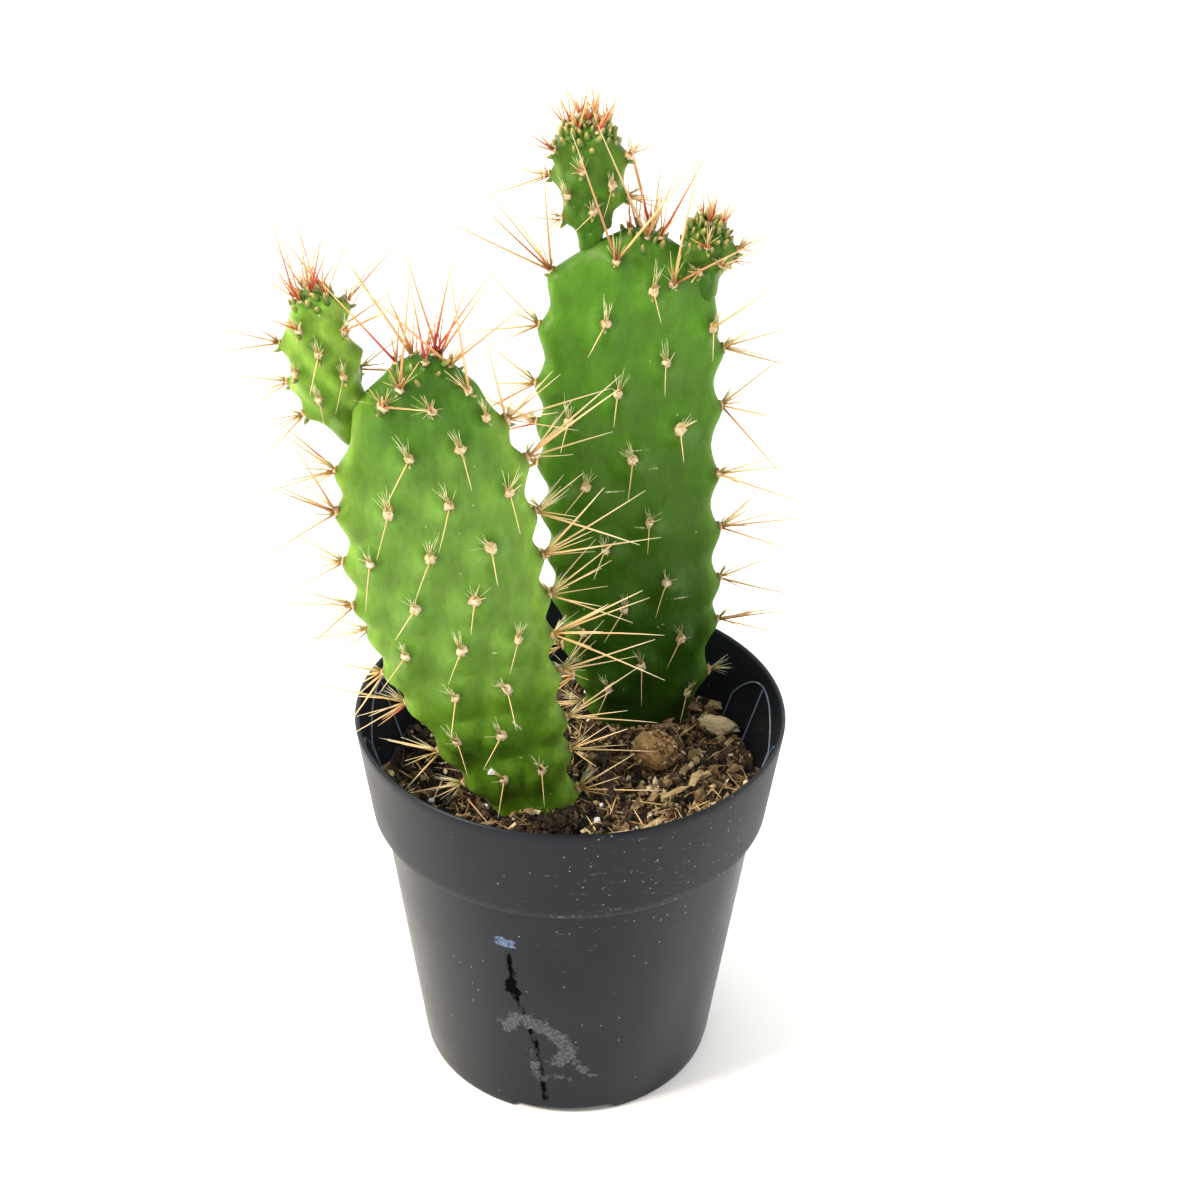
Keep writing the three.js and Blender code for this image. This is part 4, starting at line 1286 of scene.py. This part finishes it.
def pottedPlastic():
    # Injection-moulded recycled polypropylene: near black and satin, with a faint orange-peel skin, a paler
    # worn bloom, dust and fine scratches on the collar, a chip, a dark run and dried residue on the front.
    material, tree, surface, where = newMaterial("blackPolypropylene")
    bloom = noiseAt(tree, where, 22, 4.0)
    grain = noiseAt(tree, where, 0.35, 2.0)
    crust = noiseAt(tree, where, 2.4, 6.0, 0.7)
    fine = noiseAt(tree, where, 0.8, 5.0, 0.75)
    cloud = noiseAt(tree, where, 7, 3.0)
    colour = mixed(tree, ranged(tree, bloom, 0.3, 0.7), "#0d1013", "#16191d")

    def marked(name, reach, soft, pattern, amount):
        # 1 within reach of a mark, with an edge broken up by a pattern
        ragged = counted(tree, "SUBTRACT", pattern, 0.5)
        away = counted(tree, "MULTIPLY_ADD", ragged, amount, pointValue(tree, name + "Near"))
        return ranged(tree, away, reach - soft, reach + soft, 1.0, 0.0)

    # dust specks: the small bright cells of a noise, more of them near the dusty stretch of the collar
    specks = addNode(tree, "TexVoronoi", Vector=where, Scale=1 / (1.5 * mm), Randomness=1.0)
    small = ranged(tree, specks.outputs["Distance"], 0.06, 0.16, 0.8, 0.0)
    chosen = addNode(tree, "SeparateColor", in0=specks.outputs["Color"]).outputs[0]
    dusty = marked("dusty", 14, 12, cloud, 14)
    often = counted(tree, "GREATER_THAN", chosen, ranged(tree, dusty, 0.0, 1.0, 0.95, 0.6))
    colour = mixed(tree, counted(tree, "MULTIPLY", small, often), colour, "#a9a8a2")
    # fine scratches: a stretched noise cut to its narrow bright ridges
    drawn = addNode(tree, "Mapping", Vector=where, Rotation=(0.4, 0.5, 0.3), Scale=(1, 1, 5.5)).outputs[0]
    ridge = ranged(tree, noiseAt(tree, drawn, 5, 7.0, 0.72), 0.62, 0.66)
    edgeWear = marked("wornEdge", 0.2, 0.35, fine, 5)
    worn = counted(tree, "MAXIMUM", counted(tree, "MULTIPLY", ridge, dusty), edgeWear)
    colour = mixed(tree, counted(tree, "MULTIPLY", worn, 0.55), colour, "#8d8f90")
    blob = marked("blob", 1.3, 0.25, crust, 2.6)
    drip = counted(tree, "MAXIMUM", marked("drip", 0.75, 0.25, crust, 2.6), blob)
    colour = mixed(tree, drip, colour, "#020203")
    scuff = marked("scuff", 2.1, 0.3, crust, 9)
    for name, reach in (("scuffLow", 0.9), ("scuffRight", 1.0)):
        scuff = counted(tree, "MAXIMUM", scuff, marked(name, reach, 0.3, crust, 9))
    crumbly = ranged(tree, fine, 0.35, 0.7)
    colour = mixed(tree, scuff, colour, mixed(tree, crumbly, "#2c2f32", "#6c6f70"))
    flake = mixed(tree, crumbly, "#27354d", "#7489ac")
    colour = mixed(tree, marked("chip", 1.45, 0.2, crust, 4), colour, flake)
    # the collar has been handled and is duller than the wall under it
    high = addNode(tree, "SeparateXYZ", in0=where).outputs["Z"]
    step = pot["collarFrom"]
    collar = ranged(tree, high, (step - 0.3) * mm, (step + 0.3) * mm, 0.0, 0.12)
    satin = counted(tree, "ADD", ranged(tree, bloom, 0.3, 0.7, 0.27, 0.36), collar)
    rough = mixedValue(tree, counted(tree, "MAXIMUM", scuff, worn), satin, 0.85)
    peel = bumped(tree, grain, 0.012, 0.5)
    crusty = bumped(tree, counted(tree, "MULTIPLY", scuff, fine), 0.5, 0.8, Normal=peel)
    shine = ranged(tree, drip, 0.0, 1.0, 0.2, 0.01)
    feed(tree, surface, Base_Color=colour, Roughness=mixedValue(tree, drip, rough, 0.16), Normal=crusty)
    feed(tree, surface, IOR=1.49, Specular_IOR_Level=shine, Specular_Tint="#e4efff")
    return material


def lugEdges():
    # the thin ridge round each lug, where its flat face leaves the wall, and one up its middle, pale as a
    # painted highlight
    bm = bmesh.new()
    deepest, high = pot["lugDeepest"], pot["lugHigh"]
    for degrees in pot["lugAngles"]:
        angle = math.radians(degrees)
        arch = []
        for z in np.linspace(soil["level"] - 3, high[1], 40):
            flat = deepest[0] + (high[0] - deepest[0]) * (z - deepest[1]) / (high[1] - deepest[1])
            wall = collarRadius(z) - pot["wall"]
            arch.append((flat - 0.12, min(pot["lugHalfWidth"], math.sqrt(max(0, wall**2 - flat**2))), z))
        middle = [(flat, 0, z) for flat, half, z in arch if half > 2.5]
        for run in (arch, [(flat, -half, z) for flat, half, z in arch], middle):
            line = bpy.data.curves.new("lugLine", "CURVE")
            line.dimensions = "3D"
            line.bevel_depth = pot["edgeTube"]
            line.bevel_resolution = 2
            path = line.splines.new("POLY")
            path.points.add(len(run) - 1)
            for point, (flat, half, z) in zip(path.points, run):
                x = flat * math.cos(angle) - half * math.sin(angle)
                point.co = (x, flat * math.sin(angle) + half * math.cos(angle), z, 1)
            tube = bpy.data.objects.new("lugLine", line)
            bm.from_mesh(bpy.data.meshes.new_from_object(tube))
            bpy.data.objects.remove(tube)
            bpy.data.curves.remove(line)
    return meshFrom(bm, "pot_lug_edges")


def lugHighlightPlastic():
    # A painted highlight on the lugs' ridges: glassy and paler than the wall, in place of the light their
    # rounded edges catch.
    material, tree, surface = newMaterial("thinBlackPolypropylene")[:3]
    feed(tree, surface, Base_Color="#6f7c8d", Roughness=0.16, IOR=1.49)
    return material


def makePot():
    mesh = potMesh()
    p = pointsOf(mesh)
    degrees = np.degrees(np.arctan2(p[:, 0], -p[:, 1]))
    radius = np.hypot(p[:, 0], p[:, 1])
    outside = radius > np.where(p[:, 2] > pot["collarFrom"], collarRadius(p[:, 2]), bodyRadius(p[:, 2])) - 0.8
    # the wall laid flat, at its mean radius
    meanRadius = 45
    wall = np.stack([np.radians(degrees) * meanRadius, p[:, 2]], -1)
    for name, line in potMarks.items():
        near = lineNear(wall, [(math.radians(a) * meanRadius, z) for a, z in line])
        setValues(mesh, **{name + "Near": np.where(outside, near, farAway)})
    addPiece("pot_wall", mesh, pottedPlastic(), "pot_plastic", "pot")
    addPiece("pot_lug_edges", lugEdges(), lugHighlightPlastic(), "pot_plastic")
    print("pot:", len(mesh.polygons), "faces")


makePot()


# Soil and what lies on it


def roomRadius(x, y, z):
    # how far the soil reaches in a direction, inside the wall and its lugs
    angle = np.arctan2(y, x)
    reach = collarRadius(z) - pot["wall"]
    (lowR, lowZ), (deepR, deepZ), (highR, highZ) = pot["lugLow"], pot["lugDeepest"], pot["lugHigh"]
    flat = np.interp(z, [lowZ, deepZ, highZ], [lowR, deepR, highR])
    for degrees in pot["lugAngles"]:
        away = np.angle(np.exp(1j * (angle - math.radians(degrees))))
        crossing = (np.abs(away) < 1) & (np.abs(flat * np.tan(away)) < pot["lugHalfWidth"])
        reach = np.where(crossing, np.minimum(reach, flat / np.cos(away)), reach)
    return reach - 0.3


def rawSoil(x, y):
    # the soil's height with its own lumps
    z = float(soilHeight(x, y))
    at = Vector((x, y, 3.0))
    z += 1.1 * noise.fractal(at / 5.5, 1.0, 2.1, 4)
    return z + 0.5 * noise.turbulence(at / 2.2, 3, False) - 0.3


soilLook = {
    "rings": 96,
    "sides": 220,
    "depth": 60,
    "reach": 49,
    # darker crumbs: (x, y, reach squared, how much darker); the first is the dark clod's own colour by the
    # front pad's foot, the second painted shade in the hollow by the left wall
    "darker": [(-2, -22, 60, 0.3), (-38, 2, 160, 0.35)],
    # a dark clod before the front pad's foot: the place, how many crumbs and its half sizes
    "clodAt": (-2.2, -25.5),
    "clodCrumbs": 260,
    "clodSize": (5.5, 3.6, 3.6),
    # bits of perlite that cling to the front pad's foot: [place, half sizes]
    "clinging": [[(-17.7, -20.9, 95.2), (1.5, 1.2, 1.3)], [(-15.9, -21.1, 94.4), (0.9, 0.8, 0.9)]],
    # name: [how many, smallest, largest, seed]
    "crumbs": (5200, 0.3, 1.9, 21),
    "chips": (260, 1.0, 2.4, 22),
    "fibres": (1500, 2.2, 7.5, 23),
    "perlite": (46, 0.5, 1.1, 24),
    "deadSpines": (34, 5, 15, 25),
}


def soilBedMesh():
    reach = collarRadius(soil["level"]) - pot["wall"] - 0.3
    rings = soilLook["rings"]
    profile = [(reach * k / rings, soil["level"]) for k in range(rings + 1)]
    deep = soilLook["depth"]
    profile += [(bodyRadius(deep) - pot["wall"] - 0.4, deep), (0, deep)]
    mesh = turnedMesh("soil_bed", profile, soilLook["sides"])
    p = pointsOf(mesh)
    tops = p[:, 2] > soil["level"] - 1
    for k in np.flatnonzero(tops):
        x, y = p[k, :2]
        z = rawSoil(x, y)
        r = math.hypot(x, y)
        limit = float(roomRadius(np.array(x), np.array(y), np.array(z)))
        if r > limit:
            x, y = x * limit / r, y * limit / r
        p[k] = (x, y, z)
    setPoints(mesh, p)
    return mesh


def spots(rng, count, margin, reachIn=1.0):
    # places on the soil that no pad stands on
    found = []
    while len(found) < count:
        r, a = soilLook["reach"] * math.sqrt(rng.uniform()) * reachIn, rng.uniform(0, 2 * math.pi)
        x, y = r * math.cos(a), r * math.sin(a)
        z = rawSoil(x, y)
        if r > float(roomRadius(np.array(x), np.array(y), np.array(z))) - margin:
            continue
        if any(nearPad(pad, np.array([x, y, 84.0]), -0.6)[0] for pad in (padFront, padBack)):
            continue
        found.append((x, y, z))
    return np.array(found)


def randomTurns(rng, count, tilt=math.pi):
    # a turn matrix for each copy, tipped by up to tilt from flat
    made = []
    for _ in range(count):
        tip = Matrix.Rotation(rng.uniform(-tilt, tilt), 3, Vector((rng.normal(), rng.normal(), 0.01)))
        made.append(np.array(tip @ Matrix.Rotation(rng.uniform(0, 2 * math.pi), 3, "Z")))
    return np.array(made)


def crumbTemplate(seed, stretch=(1, 1, 1)):
    bm = bmesh.new()
    bmesh.ops.create_icosphere(bm, subdivisions=1, radius=1)
    mesh = meshFrom(bm, "crumbTemplate", smooth=False)
    rng = np.random.default_rng(seed)
    p = pointsOf(mesh)
    setPoints(mesh, p * (1 + 0.28 * rng.normal(size=(len(p), 1))).clip(0.55, 1.5) * stretch)
    return mesh


def ellipsoids(name, template, at, sizes, turns, **values):
    shape = pointsOf(template)[None] * sizes[:, None]
    return strew(name, template, np.einsum("nij,nvj->nvi", turns, shape) + at[:, None], **values)


def organic(name, stops, scale, rough=0.9, bump=0.5):
    # Dry plant matter, peat, bark or grit: dull and uneven, with a tone of its own for each bit.
    material, tree, surface, where = newMaterial(name)
    mottle = noiseAt(tree, where, scale, 5.0, 0.7)
    spread = counted(tree, "MULTIPLY_ADD", mottle, 0.7, -0.35)
    colour = ramp(tree, counted(tree, "ADD", pointValue(tree, "tone"), spread), stops)
    relief = bumped(tree, mottle, 0.6, bump)
    feed(tree, surface, Base_Color=colour, Roughness=rough, Specular_IOR_Level=0.3, Normal=relief)
    return material


soilStops = [(0.0, "#120d08"), (0.3, "#35281a"), (0.55, "#67523a"), (0.8, "#a38b62"), (1.0, "#dccba2")]


def makeCrumbs(peat):
    count, small, large, seed = soilLook["crumbs"]
    rng = np.random.default_rng(seed)
    at = spots(rng, count, 0.6)
    sizes = small + (large - small) * rng.beta(0.8, 3.4, (count, 1)) * rng.uniform(0.6, 1.3, (count, 3))
    at[:, 2] += sizes[:, 2] * rng.uniform(-0.2, 0.7, count)
    light = 0.3 + 0.24 * rng.normal(size=count)
    light += 0.26 * smoothstep(at[:, 0], 6, 24)
    # darker round the clod, and painted shade in the hollow by the left wall
    for x, y, reach, share in soilLook["darker"]:
        light -= share * np.exp(-((at[:, 0] - x) ** 2 + (at[:, 1] - y) ** 2) / reach)
    clod = np.arange(count) < soilLook["clodCrumbs"]
    x, y = soilLook["clodAt"]
    ball = unit(rng.normal(size=(count, 3))) * rng.uniform(0.3, 1, (count, 1)) * soilLook["clodSize"]
    at[clod] = (ball * (1, 1, 0.8) + (x, y, float(soilHeight(x, y)) + 0.6))[clod]
    sizes[clod] = np.maximum(sizes[clod], 0.7)
    light[clod] = rng.uniform(0.02, 0.3, count)[clod]
    turns, light = randomTurns(rng, count), light.clip(0.02, 0.98)
    crumbs = ellipsoids("soil_crumbs", crumbTemplate(3), at, sizes, turns, tone=light)
    addPiece("soil_crumbs", crumbs, peat, "soil")


def makeChips():
    count, small, large, seed = soilLook["chips"]
    rng = np.random.default_rng(seed)
    at = spots(rng, count, 1.2)
    long = rng.uniform(small, large, count)
    sizes = np.stack([long, long * rng.uniform(0.3, 0.6, count), long * rng.uniform(0.15, 0.35, count)], -1)
    at[:, 2] += 0.4
    turns = randomTurns(rng, count, 0.7)
    tones = rng.uniform(0.25, 0.95, count)
    places, halves, degrees, stripTones = zip(*strips)
    laid = [np.array(Matrix.Rotation(math.radians(turn), 3, "Z")) for turn in degrees]
    chosen = ((at, places), (sizes, halves), (turns, laid), (tones, stripTones))
    at, sizes, turns, tones = (np.concatenate(pair) for pair in chosen)
    chips = ellipsoids("soil_chips", crumbTemplate(8), at, sizes, turns, tone=tones)
    addPiece("soil_chips", chips, organic("barkChips", soilStops, 0.9), "soil")


def makeFibres():
    count, small, large, seed = soilLook["fibres"]
    rng = np.random.default_rng(seed)
    at = spots(rng, count, 1.5)
    ways = rng.normal(size=(count, 3)) * (1, 1, 0.32) + up * 0.12
    lengths = small + (large - small) * rng.beta(1.3, 3, count)
    for k in range(count):
        tip = at[k] + unit(ways[k]) * lengths[k]
        if math.hypot(*tip[:2]) > soilLook["reach"] - 3:
            ways[k] = -ways[k] * (1, 1, -1)
    template = needleTemplate(4, 4)
    radii = rng.uniform(0.08, 0.3, count)
    bends = rng.normal(size=(count, 3)) * (lengths[:, None] * 0.22) * (1, 1, 0.5)
    places, z = needlePlaces(template, at + up * 0.35, ways, lengths, radii, bends)
    fibres = strew("soil_fibres", template, places, tone=rng.beta(2.2, 2, count))
    stops = [(0.0, "#22170d"), (0.4, "#66502f"), (0.7, "#a98a58"), (1.0, "#e0cb9a")]
    addPiece("soil_fibres", fibres, organic("coirFibre", stops, 0.8), "soil")


def makePerlite():
    count, small, large, seed = soilLook["perlite"]
    rng = np.random.default_rng(seed)
    at = spots(rng, count, 1.5)
    sizes = rng.uniform(small, large, (count, 1)) * rng.uniform(0.7, 1.2, (count, 3))
    at[:, 2] += 0.5
    for k, (place, size) in enumerate(soilLook["clinging"]):
        at[k], sizes[k] = place, size
    turns = randomTurns(rng, count)
    tones = rng.uniform(0.4, 0.9, count)
    bits = ellipsoids("soil_perlite", crumbTemplate(5), at, sizes, turns, tone=tones)
    stops = [(0.0, "#b8b2a4"), (0.5, "#e6e2d8"), (1.0, "#ffffff")]
    addPiece("soil_perlite", bits, organic("perlite", stops, 0.5, rough=0.8), "soil")


def makeDeadSpines():
    count, small, large, seed = soilLook["deadSpines"]
    rng = np.random.default_rng(seed)
    at = spots(rng, count, 4, 0.86)
    ways = rng.normal(size=(count, 3)) * (1, 1, 0.12)
    lengths = rng.uniform(small, large, count) * 0.7
    starts = at + up * 1.3 - unit(ways) * lengths[:, None] / 2
    rows = [(start, way, length, 0.2, way * 0, 0) for start, way, length in zip(starts, ways, lengths)]
    tones = rng.uniform(0.2, 0.9, count)
    fallen = hornNeedles("soil_dead_spines", needleTemplate(5, 3), rows, tones)
    addPiece("soil_dead_spines", fallen, hornMaterial, "soil")


def makeSoil():
    bed = soilBedMesh()
    p = pointsOf(bed)
    # the bed's tone: darker in the dips between its lumps and lighter on them, as painted shade
    low = np.clip((p[:, 2] - soilHeight(p[:, 0], p[:, 1])) / 2.4 + 0.22, 0, 0.6)
    setValues(bed, tone=low)
    peat = organic("pottingPeat", soilStops, 1.6, bump=0.9)
    addPiece("soil_bed", bed, peat, "soil", "soil")
    makeCrumbs(peat)
    makeChips()
    makeFibres()
    makePerlite()
    makeDeadSpines()
    print("soil: bed, crumbs, chips, fibres, perlite and fallen spines")


def pebbleMesh(name, piece, subdivisions, rough):
    # the part's own uneven pebble, finer and with a rough skin
    bm = bmesh.new()
    bmesh.ops.create_icosphere(bm, subdivisions=subdivisions, radius=1)
    mesh = meshFrom(bm, name)
    p = unit(pointsOf(mesh))
    swell = np.zeros(len(p))
    for k in range(6):
        n = piece["seed"] + 3 * k
        way = unit([draw(n) - 0.5, draw(n + 1) - 0.5, draw(n + 2) - 0.5])
        swell += 0.045 * np.sin(4.5 * (p @ way) + 6 * draw(n + 50))
    swell += np.array([rough * noise.fractal(Vector(v) * 4.0, 1.0, 2.0, 4) for v in p])
    points = p * (np.array(piece["size"]) * (1 + swell)[:, None])
    turn = Matrix.Rotation(math.radians(piece.get("turn", 0)), 3, "Z")
    setPoints(mesh, points @ np.array(turn).T + piece["at"])
    return mesh


def makeLoose():
    clay = pebbleMesh("soil_lump", lump, 5, 0.09)
    rng = np.random.default_rng(31)
    setValues(clay, tone=np.full(len(clay.vertices), 0.55))
    tan = [(0.0, "#5a4226"), (0.35, "#8c6c40"), (0.65, "#b5925e"), (1.0, "#e6d6b0")]
    granule = organic("driedClayCoir", tan, 0.9, bump=0.9)
    addPiece("soil_lump_ball", clay, granule, "tan_lump", "soil_lump")
    count = lump["grains"]
    d = unit(rng.normal(size=(count, 3)))
    at = np.array(lump["at"]) + d * np.array(lump["size"]) * 0.985
    sizes = rng.uniform(0.18, 0.55, (count, 1)) * rng.uniform(0.6, 1.3, (count, 3))
    grains = ellipsoids(
        "soil_lump_grains", crumbTemplate(6), at, sizes, randomTurns(rng, count), tone=rng.beta(2, 2, count)
    )
    addPiece("soil_lump_grains", grains, granule, "tan_lump")
    bark = pebbleMesh("bark_chip", chip, 4, 0.3)
    setValues(bark, tone=np.full(len(bark.vertices), 0.6))
    pale = [(0.0, "#8b7450"), (0.4, "#bba57c"), (0.75, "#dccba6"), (1.0, "#f2e7cb")]
    addPiece("bark_chip_pale", bark, organic("paleBark", pale, 1.3, bump=0.8), "pale_chip", "bark_chip")
    print("loose pieces: lump and chip")


makeSoil()
makeLoose()
